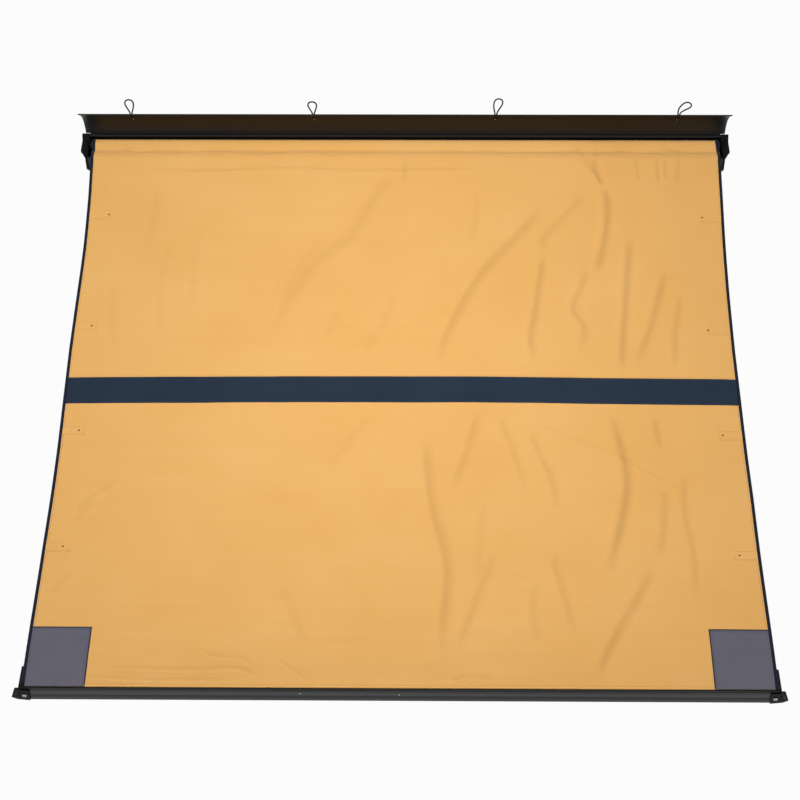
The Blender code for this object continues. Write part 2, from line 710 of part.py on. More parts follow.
def loop_offset(index, share):
    """A place on a loop from its foot: a drop shape, turned sideways and tipped as it rises."""
    rise = (1 - math.cos(math.tau * share)) / 2
    swell = -LOOP_WIDTH / 2 * math.sin(math.tau * share) * rise
    swell -= LOOP_FOOT / 2 * math.cos(math.pi * share)
    turn = math.radians(LOOP_TURNS[index]) * math.sin(rise * math.pi / 2)
    across = swell * math.cos(turn) + LOOP_HEIGHT * rise * math.sin(turn)
    up = LOOP_HEIGHT * rise * math.cos(turn) - swell * math.sin(turn)
    return Vector((across, LOOP_TIPS[index] * up, up))


def make_loop(index, axis, finish):
    """One elastic cord loop standing on the lid's lip, both ends at its foot."""
    chord, _ = lid_frame()
    middle = (index - (LOOP_COUNT - 1) / 2) * LOOP_PITCH
    curve = bpy.data.curves.new(f"stow_loop_{index + 1}", "CURVE")
    curve.dimensions = "3D"
    curve.bevel_depth = LOOP_CORD / 2
    curve.bevel_resolution = 2
    curve.use_fill_caps = True
    line = curve.splines.new("POLY")
    line.points.add(LOOP_STEPS)
    foot = Vector((middle, chord[0] * LID_REACH, chord[1] * LID_REACH + LID_LIP_RADIUS + LOOP_SEAT))
    for step in range(LOOP_STEPS + 1):
        line.points[step].co = (*(foot + loop_offset(index, step / LOOP_STEPS)), 1.0)
    made = bpy.data.objects.new(f"stow_loop_{index + 1}", curve)
    bpy.context.collection.objects.link(made)
    curve.materials.append(finish["elastic"])
    made.parent = axis
    return made


# Roller

def make_roller(finish):
    """Tube and two end plugs with stub axles, about the roller's axis."""
    axis = add_empty("roller_axis", (0.0, ROLLER_Y, ROLLER_Z))
    half = TROUGH_HALF - ROLLER_END_ROOM
    bore = ROLLER_RADIUS - ROLLER_WALL
    add_object("roller_tube", pipe(-half, half, ROLLER_RADIUS, bore, 28), finish["tube"],
               parent=axis)
    for side, sign in SIDES.items():
        start = half - PLUG_LENGTH
        flange = half + TOUCH
        stub = TROUGH_HALF + TOUCH + AXLE_LENGTH
        plug = turned(((start, 0.0), (start, bore - TOUCH), (flange, bore - TOUCH),
                       (flange, ROLLER_RADIUS), (flange + PLUG_FLANGE, ROLLER_RADIUS),
                       (flange + PLUG_FLANGE, AXLE_RADIUS), (stub, AXLE_RADIUS), (stub, 0.0)),
                      closed=False)
        flip = Matrix.Scale(sign, 4, (1, 0, 0))
        add_object(f"roller_plug_{side}", aim(plug, flip), finish["black_nylon"], parent=axis)


# Lead rail

def rail_point(back, down):
    """A place in the rail's section: metres back from its face and down from its top."""
    return (RAIL_FRONT + back, RAIL_TOP - down)


def rail_outline():
    """F section: keder groove at the top front, leg channel below, rafter bay behind."""
    half_slot = KEDER_SLOT / 2
    slot_angle = math.degrees(math.asin(half_slot / KEDER_BORE))
    bore = arc((KEDER_BACK, -KEDER_DOWN), KEDER_BORE, 90 + slot_angle, 450 - slot_angle, 12)
    web_back = WEB_FRONT + RAIL_WEB
    section = [(0.0, RAIL_HEIGHT), (0.0, FACE_GROOVE_TOP + FACE_GROOVE_HEIGHT),
               (FACE_GROOVE_DEPTH, FACE_GROOVE_TOP + FACE_GROOVE_HEIGHT),
               (FACE_GROOVE_DEPTH, FACE_GROOVE_TOP), (0.0, FACE_GROOVE_TOP), (0.0, RAIL_EDGE),
               (RAIL_EDGE, 0.0), (KEDER_BACK - half_slot, 0.0)]
    section += [(back, -up) for back, up in bore]
    section += [(KEDER_BACK + half_slot, 0.0), (RAIL_DEPTH, 0.0), (RAIL_DEPTH, RAIL_WALL),
                (web_back, RAIL_WALL), (web_back, RAIL_HEIGHT - WEB_SHORT),
                (WEB_FRONT, RAIL_HEIGHT - WEB_SHORT), (WEB_FRONT, RAIL_WALL),
                (KEDER_BLOCK, RAIL_WALL), (KEDER_BLOCK, KEDER_BLOCK_HEIGHT),
                (RAIL_WALL, KEDER_BLOCK_HEIGHT), (RAIL_WALL, RAIL_HEIGHT)]
    return [rail_point(back, down) for back, down in section]


def make_rail(finish):
    """The extrusion, drilled for the leg bolts, and the rod sewn into the canopy's front hem."""
    rail = add_object("rail_extrusion", along_x(rail_outline(), -RAIL_HALF, RAIL_HALF),
                      finish["grey_aluminium"])
    y, z = rail_point(-CUT_OVER, LEG_AXIS_DOWN)
    for side, sign in SIDES.items():
        place = Matrix.Translation((sign * PIVOT_X, y, z)) @ X_TO_Y
        cut(rail, f"rail_bolt_hole_{side}", aim(rod(0.0, RAIL_DEPTH, PIVOT_BOLT + TOUCH, 16), place))
    y, z = rail_point(KEDER_BACK, KEDER_DOWN)
    add_object("keder_rod", rod(-PANEL_HALF, PANEL_HALF, KEDER_ROD, 12), finish["ochre_fabric"],
               place=(0.0, y, z))


def cheek_outline(sign):
    """The end bracket's front view, as (x, z), leaning out towards its lower corner."""
    inboard = [(-CHEEK_INBOARD, 1.0), (-CHEEK_INBOARD, 0.13), (0.0, 0.13)]
    outboard = [(CHEEK_OUTBOARD * share, down) for share, down in
                ((0.04, -0.04), (0.42, -0.05), (0.54, -0.01), (1.0, 0.72), (0.40, 0.90))]
    return [(sign * (RAIL_HALF + out), RAIL_TOP - RAIL_HEIGHT * down)
            for out, down in inboard + outboard]


def rafter_line(side):
    """Direction of a deployed rafter, its reach from pivot to socket and its pivot."""
    y, z = rail_point(RAFTER_LANE, RAFTER_HEIGHTS[side])
    pivot = Vector((SIDES[side] * PIVOT_X, y, z))
    span = SOCKET_POINT[side] - pivot
    return span.normalized(), span.length, pivot


def make_bracket(side, sign, finish):
    """The cast end bracket: a front cheek, an end plate and the rafter's two ears."""
    face = RAIL_FRONT - TOUCH
    bracket = add_object(f"rail_end_bracket_{side}",
                         along_y(cheek_outline(sign), face - CHEEK_THICKNESS, face),
                         finish["black_nylon"], smooth=False)
    start, end = sorted((sign * (RAIL_HALF + TOUCH), sign * (RAIL_HALF + TOUCH + END_PLATE)))
    join(bracket, f"end_plate_{side}",
         block((start, face - CHEEK_THICKNESS / 2, RAIL_TOP - RAIL_HEIGHT + END_PLATE_INSET),
               (end, RAIL_FRONT + RAIL_DEPTH - END_PLATE_INSET, RAIL_TOP - TOUCH)))
    way, _, pivot = rafter_line(side)
    ear_gap = TONGUE_THICKNESS / 2 + EAR_ROOM
    edge = sign * (RAIL_HALF + TOUCH + END_PLATE / 2)
    for level, low in (("upper", ear_gap), ("lower", -ear_gap - EAR_PLATE)):
        ear = [(edge, pivot.y - RAFTER_EYE_RADIUS), (edge, pivot.y + RAFTER_EYE_RADIUS)]
        ear += [(pivot.x + sign * y, pivot.y + x)
                for x, y in arc((0.0, 0.0), RAFTER_EYE_RADIUS, 0, -180, 6)]
        join(bracket, f"{level}_ear_{side}", along_z(ear, pivot.z + low, pivot.z + low + EAR_PLATE))
    leg_y, leg_z = rail_point(-CHEEK_THICKNESS - CUT_OVER, LEG_AXIS_DOWN)
    place = Matrix.Translation((sign * PIVOT_X, leg_y, leg_z)) @ X_TO_Y
    through = CHEEK_THICKNESS + 2 * CUT_OVER
    cut(bracket, f"leg_bolt_hole_{side}", aim(rod(0.0, through, PIVOT_BOLT + TOUCH, 16), place))
    tilt = Matrix.Translation(pivot) @ way_matrix(way) @ X_TO_Z
    through = ear_gap + EAR_PLATE + CUT_OVER
    cut(bracket, f"rafter_bolt_hole_{side}",
        aim(rod(-through, through, RAFTER_BOLT + TOUCH, 16), tilt))
    for name, hole in (("blind", BLIND_HOLE), ("lash", LASH_HOLE)):
        spot = Matrix.Translation((sign * (RAIL_HALF + hole["out"]), face - CHEEK_THICKNESS,
                                   RAIL_TOP - hole["down"])) @ X_TO_Y
        cut(bracket, f"{name}_hole_{side}",
            aim(rod(-CUT_OVER, hole["deep"], hole["radius"], 12), spot))
    make_bolts(side, sign, finish, pivot, tilt)


def make_bolts(side, sign, finish, pivot, tilt):
    """The leg's cross bolt and the rafter's tilted bolt."""
    leg_y, leg_z = rail_point(0.0, LEG_AXIS_DOWN)
    seat = -TOUCH - CHEEK_THICKNESS - TOUCH
    end = WEB_FRONT + RAIL_WEB
    crown, brim = seat - PIVOT_HEAD_HEIGHT, seat - PIVOT_HEAD_HEIGHT * 0.6
    bolt = turned(((crown, 0.0), (crown, PIVOT_HEAD_RADIUS * 0.7), (brim, PIVOT_HEAD_RADIUS),
                   (seat, PIVOT_HEAD_RADIUS), (seat, PIVOT_BOLT), (end, PIVOT_BOLT), (end, 0.0)),
                  18, closed=False)
    add_object(f"leg_pivot_bolt_{side}", aim(bolt, X_TO_Y), finish["steel"],
               place=(sign * PIVOT_X, leg_y, leg_z))
    top = TONGUE_THICKNESS / 2 + EAR_ROOM + EAR_PLATE + RAFTER_BOLT_PROUD
    crown = top + RAFTER_HEAD_HEIGHT
    pin = turned(((-top, 0.0), (-top, RAFTER_BOLT), (top, RAFTER_BOLT), (top, RAFTER_HEAD_RADIUS),
                  (crown, RAFTER_HEAD_RADIUS * 0.9), (crown, 0.0)), 16, closed=False)
    local = Matrix.Translation(-pivot) @ tilt
    add_object(f"rafter_pivot_bolt_{side}", aim(pin, local), finish["steel"], place=pivot)


# Clamps and levers

def clamp_ring(tube, inner_tube, end):
    """A collar on a tube's end whose nose grips the next tube."""
    radius = tube + TOUCH + CLAMP_WALL
    start = end + CLAMP_NOSE - clamp_length()
    last = end + CLAMP_NOSE
    return turned(((start, tube + TOUCH), (start, radius - CLAMP_EDGE), (start + CLAMP_EDGE, radius),
                   (last - CLAMP_EDGE, radius), (last, radius - CLAMP_EDGE),
                   (last, inner_tube + RUN), (end + TOUCH, inner_tube + RUN),
                   (end + TOUCH, tube + TOUCH)))


def clamp_length():
    """A collar is as long as its lever and the two ears that hold it."""
    return LEVER_LENGTH + 2 * (EAR_WIDTH + TOUCH)


def lever_spot(tube, width):
    """Where a lever hinges, across and away from its tube's middle."""
    ring = tube + TOUCH + CLAMP_WALL
    return width / 2, ring + LEVER_THICKNESS / 2 + TOUCH


def clamp_and_lever(name, side, flip, tube, inner_tube, end, width, roll, finish, parent):
    """A clamp collar with two ears and its lever; roll turns the lever round the tube."""
    ring = clamp_ring(tube, inner_tube, end)
    spin = Matrix.Rotation(roll, 4, "X")
    clamp = add_object(f"{name}_clamp_{side}", aim(ring, flip @ spin), finish["black_nylon"],
                       parent=parent)
    across, away = lever_spot(tube, width)
    radius = LEVER_THICKNESS / 2
    last = end + CLAMP_NOSE
    for number, start in enumerate((last - EAR_WIDTH, last - clamp_length())):
        ear = [(-across - radius, -away), (-across + radius * 2.2, -away - radius),
               (-across + radius * 3.3, -tube - TOUCH - CLAMP_WALL * 0.4),
               (-tube * 0.62, -tube * 0.86), (-across - radius, -away + radius * 1.7)]
        join(clamp, f"{name}_ear_{number}_{side}",
             aim(along_x(ear, start, start + EAR_WIDTH), flip @ spin))
    axis = add_empty(f"{name}_lever_axis_{side}", (0.0, 0.0, 0.0), parent)
    spot = flip @ spin @ Vector((last - clamp_length() / 2, -across, -away))
    axis.location = spot
    blade = arc((0.0, 0.0), radius, 90, 270, 6)
    blade += [(width - LEVER_EDGE, -radius), (width, -radius + LEVER_EDGE),
              (width, radius - LEVER_EDGE), (width - LEVER_EDGE, radius)]
    shape = along_x(blade, -LEVER_LENGTH / 2, LEVER_LENGTH / 2)
    add_object(f"{name}_lever_{side}", aim(shape, flip @ spin), finish["black_nylon"],
               parent=axis)


# Legs

def make_leg(side, sign, finish):
    """Three telescoping tubes on a hinge block, folded into the rail's front channel."""
    y, z = rail_point(LANES[side], LEG_AXIS_DOWN)
    axis = add_empty(f"leg_axis_{side}", (sign * PIVOT_X, y, z))
    flip = Matrix.Scale(-sign, 4, (1, 0, 0))
    outer, middle, inner = LEG_TUBES
    bore = outer - LEG_TUBE_WALL
    nose = CLAMP_NOSE + TOUCH
    inner_end = LEG_FOLDED - FOOT_LENGTH
    middle_end = inner_end - nose - RUN
    outer_end = middle_end - clamp_length() - TUBE_END_ROOM
    tube_start = LEG_EYE_REACH
    hinge = rod(tube_start - CUT_OVER * 2, tube_start + LEG_EYE_PLUG, bore - TOUCH)
    block_shape = add_object(f"leg_hinge_block_{side}", aim(hinge, flip), finish["black_nylon"],
                             parent=axis)
    eye = arc((0.0, 0.0), outer, 90, 270, 8) + [(tube_start - TOUCH, -outer),
                                               (tube_start - TOUCH, outer)]
    half = LEG_EYE_WIDTH / 2
    join(block_shape, f"leg_eye_{side}", aim(along_y(eye, -half, half), flip))
    cut(block_shape, f"leg_eye_hole_{side}",
        aim(rod(-LEG_EYE_WIDTH, LEG_EYE_WIDTH, PIVOT_BOLT + RUN, 16), X_TO_Y))
    add_object(f"leg_outer_tube_{side}", aim(pipe(tube_start, outer_end, outer, bore), flip),
               finish["tube"], parent=axis)
    add_object(f"leg_middle_tube_{side}",
               aim(pipe(MIDDLE_TUBE_START, middle_end, middle, middle - LEG_TUBE_WALL), flip),
               finish["tube"], parent=axis)
    add_object(f"leg_inner_tube_{side}",
               aim(pipe(INNER_TUBE_START, inner_end + FOOT_PLUG - 2 * TOUCH, inner,
                        inner - LEG_TUBE_WALL), flip),
               finish["tube"], parent=axis)
    clamp_and_lever("leg_upper", side, flip, outer, middle, outer_end, LEVER_WIDTH, 0.0,
                    finish, axis)
    clamp_and_lever("leg_lower", side, flip, middle, inner, middle_end, LEVER_WIDTH, 0.0,
                    finish, axis)
    make_foot(side, flip, inner, inner_end, finish, axis)


def make_foot(side, flip, tube, start, finish, axis):
    """A rubber boot with a flat lug for a ground peg."""
    begin = start + TOUCH
    seat = start + FOOT_PLUG
    boot = turned(((seat, 0.0), (seat, tube + TOUCH), (begin, tube + TOUCH),
                   (begin, FOOT_RADIUS - FOOT_EDGE / 2), (begin + FOOT_EDGE / 2, FOOT_RADIUS),
                   (LEG_FOLDED - FOOT_EDGE, FOOT_RADIUS), (LEG_FOLDED, FOOT_RADIUS - FOOT_EDGE),
                   (LEG_FOLDED, 0.0)), closed=False)
    foot = add_object(f"leg_foot_{side}", aim(boot, flip), finish["rubber"],
                      parent=axis)
    centre = LEG_FOLDED - PEG_LUG_RADIUS
    lug = arc((centre, -PEG_LUG_DOWN), PEG_LUG_RADIUS, 180, 360, 10)
    lug += [(centre + PEG_LUG_RADIUS, -FOOT_RADIUS * 0.9), (centre - PEG_LUG_RADIUS, -FOOT_RADIUS * 0.9)]
    half = PEG_LUG_THICKNESS / 2
    join(foot, f"peg_lug_{side}", aim(along_y(lug, -half, half), flip))
    hole = Matrix.Translation((centre, 0.0, -PEG_LUG_DOWN - PEG_HOLE_DROP)) @ X_TO_Y
    cut(foot, f"peg_hole_{side}",
        aim(rod(-PEG_LUG_THICKNESS, PEG_LUG_THICKNESS, PEG_HOLE / 2, 12), flip @ hole))


# Rafters

def make_rafter(side, sign, finish):
    """Two telescoping tubes on a flat tongue, folded into the bay behind the rail's web."""
    way, reach, pivot = rafter_line(side)
    lean = math.atan2(way.z, way.y)
    axis = add_empty(f"rafter_axis_{side}", pivot, turn=(lean, 0.0, 0.0))
    flip = Matrix.Scale(-sign, 4, (1, 0, 0))
    outer, inner = RAFTER_TUBES
    nose = CLAMP_NOSE + TOUCH
    tip_start = RAFTER_FOLDED - RAFTER_TIP_LENGTH
    outer_end = tip_start - nose - TUBE_END_ROOM
    half = TONGUE_THICKNESS / 2
    root = TONGUE_REACH + TONGUE_PLUG / 2
    tongue = arc((0.0, 0.0), RAFTER_EYE_RADIUS, 90, 270, 8)
    tongue += [(root, -TONGUE_WIDTH / 2), (root, TONGUE_WIDTH / 2)]
    bore = outer - RAFTER_TUBE_WALL
    plug_end = TONGUE_REACH + TONGUE_PLUG
    shell = turned(((TONGUE_REACH, 0.0), (TONGUE_REACH, outer), (outer_end, outer),
                    (outer_end, bore), (plug_end, bore), (plug_end, 0.0)), closed=False)
    outer_tube = add_object(f"rafter_outer_tube_{side}", aim(shell, flip), finish["tube"],
                            parent=axis)
    join(outer_tube, f"tongue_{side}", aim(along_z(tongue, -half, half), flip))
    cut(outer_tube, f"tongue_hole_{side}",
        aim(rod(-TONGUE_THICKNESS, TONGUE_THICKNESS, RAFTER_BOLT + RUN, 16), X_TO_Z))
    add_object(f"rafter_inner_tube_{side}",
               aim(pipe(MIDDLE_TUBE_START, tip_start + TIP_PLUG - 2 * TOUCH, inner,
                        inner - RAFTER_TUBE_WALL), flip),
               finish["tube"], parent=axis)
    clamp_and_lever("rafter", side, flip, outer, inner, outer_end, RAFTER_LEVER_WIDTH,
                    math.radians(90), finish, axis)
    bore = inner + TOUCH
    cap = bore + TIP_SLEEVE_WALL
    seat, last = tip_start + TIP_PLUG, RAFTER_FOLDED - TUBE_END_ROOM
    tip = turned(((seat, 0.0), (seat, bore), (tip_start + TOUCH, bore),
                  (tip_start + TOUCH, cap), (tip_start + TIP_SLEEVE, cap),
                  (tip_start + TIP_SLEEVE + TIP_EDGE, inner), (last - TIP_EDGE, inner),
                  (last, inner - TIP_EDGE), (last, 0.0)), closed=False)
    add_object(f"rafter_tip_{side}", aim(tip, flip), finish["black_nylon"],
               parent=axis)


def main():
    clear_scene()
    finish = make_materials()
    make_trough(finish)
    make_hinge_rod(finish)
    make_canopy(finish)
    lid_axis = make_lid(finish)
    for index in range(LOOP_COUNT):
        make_loop(index, lid_axis, finish)
    make_roller(finish)
    make_rail(finish)
    for side, sign in SIDES.items():
        make_end_cap(side, sign, finish)
        make_socket(side, sign, finish)
        make_bracket(side, sign, finish)
        make_leg(side, sign, finish)
        make_rafter(side, sign, finish)


main()
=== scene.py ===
# %% [markdown]
# A vehicle side awning, dressed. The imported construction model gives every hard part, its place and
# its joints. This notebook adds what makes it look real: sewn canvas that sags and creases, powder
# coated extrusions with eased edges, elastic loops, rivets, stitches and bindings. Every piece is
# made at its real size, in metres, on top of that frame, and then told which moving body it rides on.

# %% Load the frame
import json
import math

import bmesh
import bpy
import numpy as np
from mathutils import Matrix, Vector, noise

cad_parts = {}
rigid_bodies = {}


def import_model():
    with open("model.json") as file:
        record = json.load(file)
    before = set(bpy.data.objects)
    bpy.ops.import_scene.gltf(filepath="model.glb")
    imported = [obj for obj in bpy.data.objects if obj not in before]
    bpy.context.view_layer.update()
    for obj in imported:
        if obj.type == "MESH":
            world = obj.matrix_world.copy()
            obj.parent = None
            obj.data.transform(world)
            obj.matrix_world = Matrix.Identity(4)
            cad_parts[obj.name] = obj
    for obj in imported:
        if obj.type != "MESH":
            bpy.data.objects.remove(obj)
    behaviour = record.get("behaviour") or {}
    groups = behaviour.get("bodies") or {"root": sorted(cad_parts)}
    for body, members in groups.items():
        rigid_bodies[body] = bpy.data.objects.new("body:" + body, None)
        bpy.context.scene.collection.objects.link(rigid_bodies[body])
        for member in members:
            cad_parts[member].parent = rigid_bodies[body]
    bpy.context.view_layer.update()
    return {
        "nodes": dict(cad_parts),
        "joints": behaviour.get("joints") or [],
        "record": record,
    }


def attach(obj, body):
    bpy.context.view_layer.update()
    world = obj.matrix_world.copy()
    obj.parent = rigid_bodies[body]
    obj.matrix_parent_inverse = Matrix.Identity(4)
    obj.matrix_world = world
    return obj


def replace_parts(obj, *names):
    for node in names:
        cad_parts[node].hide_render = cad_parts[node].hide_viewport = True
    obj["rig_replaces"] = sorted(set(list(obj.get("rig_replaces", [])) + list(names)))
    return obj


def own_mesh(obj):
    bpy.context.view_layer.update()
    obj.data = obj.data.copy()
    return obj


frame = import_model()
scene = bpy.context.scene

# %% [markdown]
# A few small helpers serve the whole notebook. Colours are written as the sRGB hex values that a
# person would pick from the real thing, and Blender's shaders want linear light, so one function
# converts them. Another adds a node, sets it and links it. The rest put finished shapes in the scene.

# %% Helpers
MM = 0.001


def linear(code):
    """A hex sRGB colour as linear RGBA."""
    values = [int(code[i:i + 2], 16) / 255 for i in (1, 3, 5)]
    return tuple(v / 12.92 if v <= 0.04045 else ((v + 0.055) / 1.055) ** 2.4 for v in values) + (1.0,)


def add_node(tree, kind, values=None, links=None, **settings):
    """A node with its settings, its socket values and its incoming links."""
    made = tree.nodes.new(kind)
    for name, value in settings.items():
        setattr(made, name, value)
    for name, value in (values or {}).items():
        made.inputs[name].default_value = value
    for name, source in (links or {}).items():
        tree.links.new(source, made.inputs[name])
    return made


def placed(name, mesh, material, smooth_degrees=35):
    """Link a finished mesh as an object at the origin."""
    made = bpy.data.objects.new(name, mesh)
    scene.collection.objects.link(made)
    mesh.materials.clear()
    mesh.materials.append(material)
    mesh.shade_smooth()
    mesh.set_sharp_from_angle(angle=math.radians(smooth_degrees))
    return made


def baked(name, shape):
    """Turn a bmesh into a mesh and free it."""
    mesh = bpy.data.meshes.new(name)
    shape.to_mesh(mesh)
    shape.free()
    return mesh


def settled(piece, smooth_degrees):
    """Give a piece the plain mesh that its modifiers make, and take them away."""
    final = bpy.data.meshes.new_from_object(piece.evaluated_get(bpy.context.evaluated_depsgraph_get()))
    piece.modifiers.clear()
    piece.data = final
    final.shade_smooth()
    final.set_sharp_from_angle(angle=math.radians(smooth_degrees))


def on_body(piece, body, stands_for=None):
    """Let a finished piece ride on a body, in a construction node's place."""
    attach(piece, body)
    if stands_for:
        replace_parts(piece, stands_for)


print("helpers ready")

# %% [markdown]
# The camera comes first, because everything is judged through it. The photograph looks down on the
# opened awning from in front at about 45 degrees through a long lens, which keeps the canopy's edges
# nearly straight. Its place was found by matching the corners of the frame to the corners seen.

# %% Camera
CAMERA_PLACE = (0.0614, -5.4334, 4.1480)
CAMERA_TURN = (45.333, 0.318, 0.582)
CAMERA_LENS = 88.84

camera_data = bpy.data.cameras.new("camera")
camera_data.sensor_width = 36.0
camera_data.lens = CAMERA_LENS
camera = bpy.data.objects.new("camera", camera_data)
camera.location = CAMERA_PLACE
camera.rotation_euler = [math.radians(angle) for angle in CAMERA_TURN]
scene.collection.objects.link(camera)
scene.camera = camera
print("camera", round(camera_data.lens, 1), "mm lens")

# %% [markdown]
# The set is a photographer's cove: a pale floor well below the awning, at the height the feet reach
# when its legs are out, and broad soft light from above. The background is white because the world
# and the floor show white to the camera, not because the lamps are strong, so colours stay as written.

# %% Light and floor
FLOOR_LEVEL = -2.56
FLOOR_SIZE = 60.0
FLOOR_GLOW = 0.96
SKY_LEVEL = 0.17
MIRRORED_SHARE = 0.3
LAMPS = {  # place, watts, size
    "key_box": ((-3.2, -1.3, 5.0), 134.0, 1.4),
    "fill_box": ((3.4, -3.0, 4.6), 97.0, 3.0),
    "centre_box": ((0.0, -1.15, 1.8), 24.0, 1.2),
}
LAMP_AIM = Vector((0.0, -1.1, -0.1))


def mixed_surface(tree, share, plain, white, end):
    """A material or world that is plain, and white by a share."""
    both = add_node(tree, "ShaderNodeMixShader",
                    links={0: share, 1: plain.outputs[0], 2: white.outputs[0]})
    add_node(tree, end, links={"Surface": both.outputs[0]})


world = bpy.data.worlds.new("studio_world")
scene.world = world
world.use_nodes = True
sky = world.node_tree
sky.nodes.clear()
ray = add_node(sky, "ShaderNodeLightPath").outputs
seen = add_node(sky, "ShaderNodeMath", operation="MAXIMUM",
                links={0: ray["Is Camera Ray"], 1: ray["Is Transmission Ray"]})
mirrored = add_node(sky, "ShaderNodeMath", {1: MIRRORED_SHARE}, {0: ray["Is Glossy Ray"]},
                    operation="MULTIPLY")
share = add_node(sky, "ShaderNodeMath", operation="MAXIMUM",
                 links={0: seen.outputs[0], 1: mirrored.outputs[0]})
soft = add_node(sky, "ShaderNodeBackground", {"Color": linear("#F4F6FA"), "Strength": SKY_LEVEL})
white = add_node(sky, "ShaderNodeBackground", {"Color": (1, 1, 1, 1), "Strength": 1.0})
mixed_surface(sky, share.outputs[0], soft, white, "ShaderNodeOutputWorld")

for name, (place, watts, size) in LAMPS.items():
    data = bpy.data.lights.new(name, "AREA")
    data.energy, data.size = watts, size
    lamp = bpy.data.objects.new(name, data)
    lamp.location = place
    lamp.rotation_euler = (LAMP_AIM - Vector(place)).to_track_quat("-Z", "Y").to_euler()
    lamp.visible_camera = lamp.visible_glossy = False
    scene.collection.objects.link(lamp)

floor_paint = bpy.data.materials.new("pale_floor")
floor_paint.use_nodes = True
tree = floor_paint.node_tree
tree.nodes.clear()
ray = add_node(tree, "ShaderNodeLightPath").outputs
seen = add_node(tree, "ShaderNodeMath", operation="MAXIMUM",
                links={0: ray["Is Camera Ray"], 1: ray["Is Glossy Ray"]})
share = add_node(tree, "ShaderNodeMath", {1: FLOOR_GLOW}, {0: seen.outputs[0]}, operation="MULTIPLY")
matt = add_node(tree, "ShaderNodeBsdfDiffuse", {"Color": linear("#F2F2F1")})
glow = add_node(tree, "ShaderNodeEmission", {"Color": (1, 1, 1, 1), "Strength": 1.0})
mixed_surface(tree, share.outputs[0], matt, glow, "ShaderNodeOutputMaterial")

half = FLOOR_SIZE / 2
floor_mesh = bpy.data.meshes.new("floor")
floor_mesh.from_pydata([(x, y, FLOOR_LEVEL) for x, y in ((-half, -half), (half, -half), (half, half),
                                                         (-half, half))], [], [(0, 1, 2, 3)])
placed("floor", floor_mesh, floor_paint)
scene.view_settings.view_transform = "Standard"
print("floor at", FLOOR_LEVEL, "m")

# %% [markdown]
# Hard finishes. The cassette and the rail are aluminium extrusions with a satin powder coat: the paint
# hides the metal, leaves a very fine orange peel, and shows faint lines along the extrusion. End caps,
# clamps and levers are glass filled nylon with a spark eroded grain. Bolts are zinc plated steel and
# the tubes are anodised aluminium with drawing marks along their length.

# %% Powder coat, nylon, steel, tube and rubber
LONG = (0.08, 1.0, 1.0)
ROUGHNESS_DRIFT = 0.07
FIRST_COLOUR, SECOND_COLOUR, MIXED_COLOUR = 6, 7, 2  # sockets of a Mix node that mixes colours


def new_finish(name, colour, roughness, metallic=0.0, specular=0.5):
    """A Principled material with constant sockets set, ready for its pattern."""
    made = bpy.data.materials.new(name)
    made.use_nodes = True
    sockets = made.node_tree.nodes["Principled BSDF"].inputs
    for title, value in (("Base Color", linear(colour)), ("Roughness", roughness), ("Metallic", metallic),
                         ("Specular IOR Level", specular)):
        sockets[title].default_value = value
    return made, made.node_tree, sockets


def grained_finish(name, colours, roughness, grain_mm, bump_mm, metallic=0.0, specular=0.5,
                   streak=(1, 1, 1), mottle_mm=60.0):
    """Two close colours in soft patches, roughness that follows them, and a fine bumpy grain."""
    made, tree, sockets = new_finish(name, colours[0], roughness, metallic, specular)
    spot = add_node(tree, "ShaderNodeTexCoord")
    stretched = add_node(tree, "ShaderNodeMapping", {"Scale": streak}, {"Vector": spot.outputs["Object"]})
    patches, grain = (add_node(tree, "ShaderNodeTexNoise", {"Scale": 1 / (size * MM), "Detail": detail},
                               {"Vector": stretched.outputs[0]}).outputs["Fac"]
                      for size, detail in ((mottle_mm, 6.0), (grain_mm, 2.0)))
    tint = add_node(tree, "ShaderNodeMix", dict(zip((FIRST_COLOUR, SECOND_COLOUR), map(linear, colours))),
                    {0: patches}, data_type="RGBA")
    tree.links.new(tint.outputs[MIXED_COLOUR], sockets["Base Color"])
    spread = add_node(tree, "ShaderNodeMapRange", {"To Min": roughness - ROUGHNESS_DRIFT,
                                                   "To Max": roughness + ROUGHNESS_DRIFT},
                      {"Value": patches})
    tree.links.new(spread.outputs[0], sockets["Roughness"])
    bump = add_node(tree, "ShaderNodeBump", {"Strength": 0.6, "Distance": bump_mm * MM},
                    {"Height": grain})
    tree.links.new(bump.outputs[0], sockets["Normal"])
    return made


powder_black = grained_finish("satin_black_powder_coat", ("#1A1A1C", "#222224"), 0.46, 1.4, 0.05,
                              specular=0.42, streak=LONG)
powder_grey = grained_finish("satin_dark_grey_powder_coat", ("#19191A", "#212122"), 0.44, 1.4, 0.05,
                             specular=0.45, streak=LONG)
nylon = grained_finish("moulded_glass_filled_nylon", ("#070708", "#0D0D0E"), 0.5, 0.9, 0.08,
                       specular=0.2)
zinc = grained_finish("zinc_plated_steel", ("#B9B7B0", "#CFCDC6"), 0.28, 0.8, 0.02, metallic=1.0,
                      mottle_mm=4.0)
anodised = grained_finish("satin_anodised_tube", ("#A6A7A9", "#B9BABC"), 0.34, 0.7, 0.02, metallic=1.0,
                          streak=(0.02, 1.0, 1.0), mottle_mm=8.0)
rubber = grained_finish("moulded_rubber", ("#17171A", "#1F1F20"), 0.78, 1.1, 0.1, specular=0.3)
print("hard finishes", [m.name for m in (powder_black, powder_grey, nylon, zinc, anodised, rubber)])
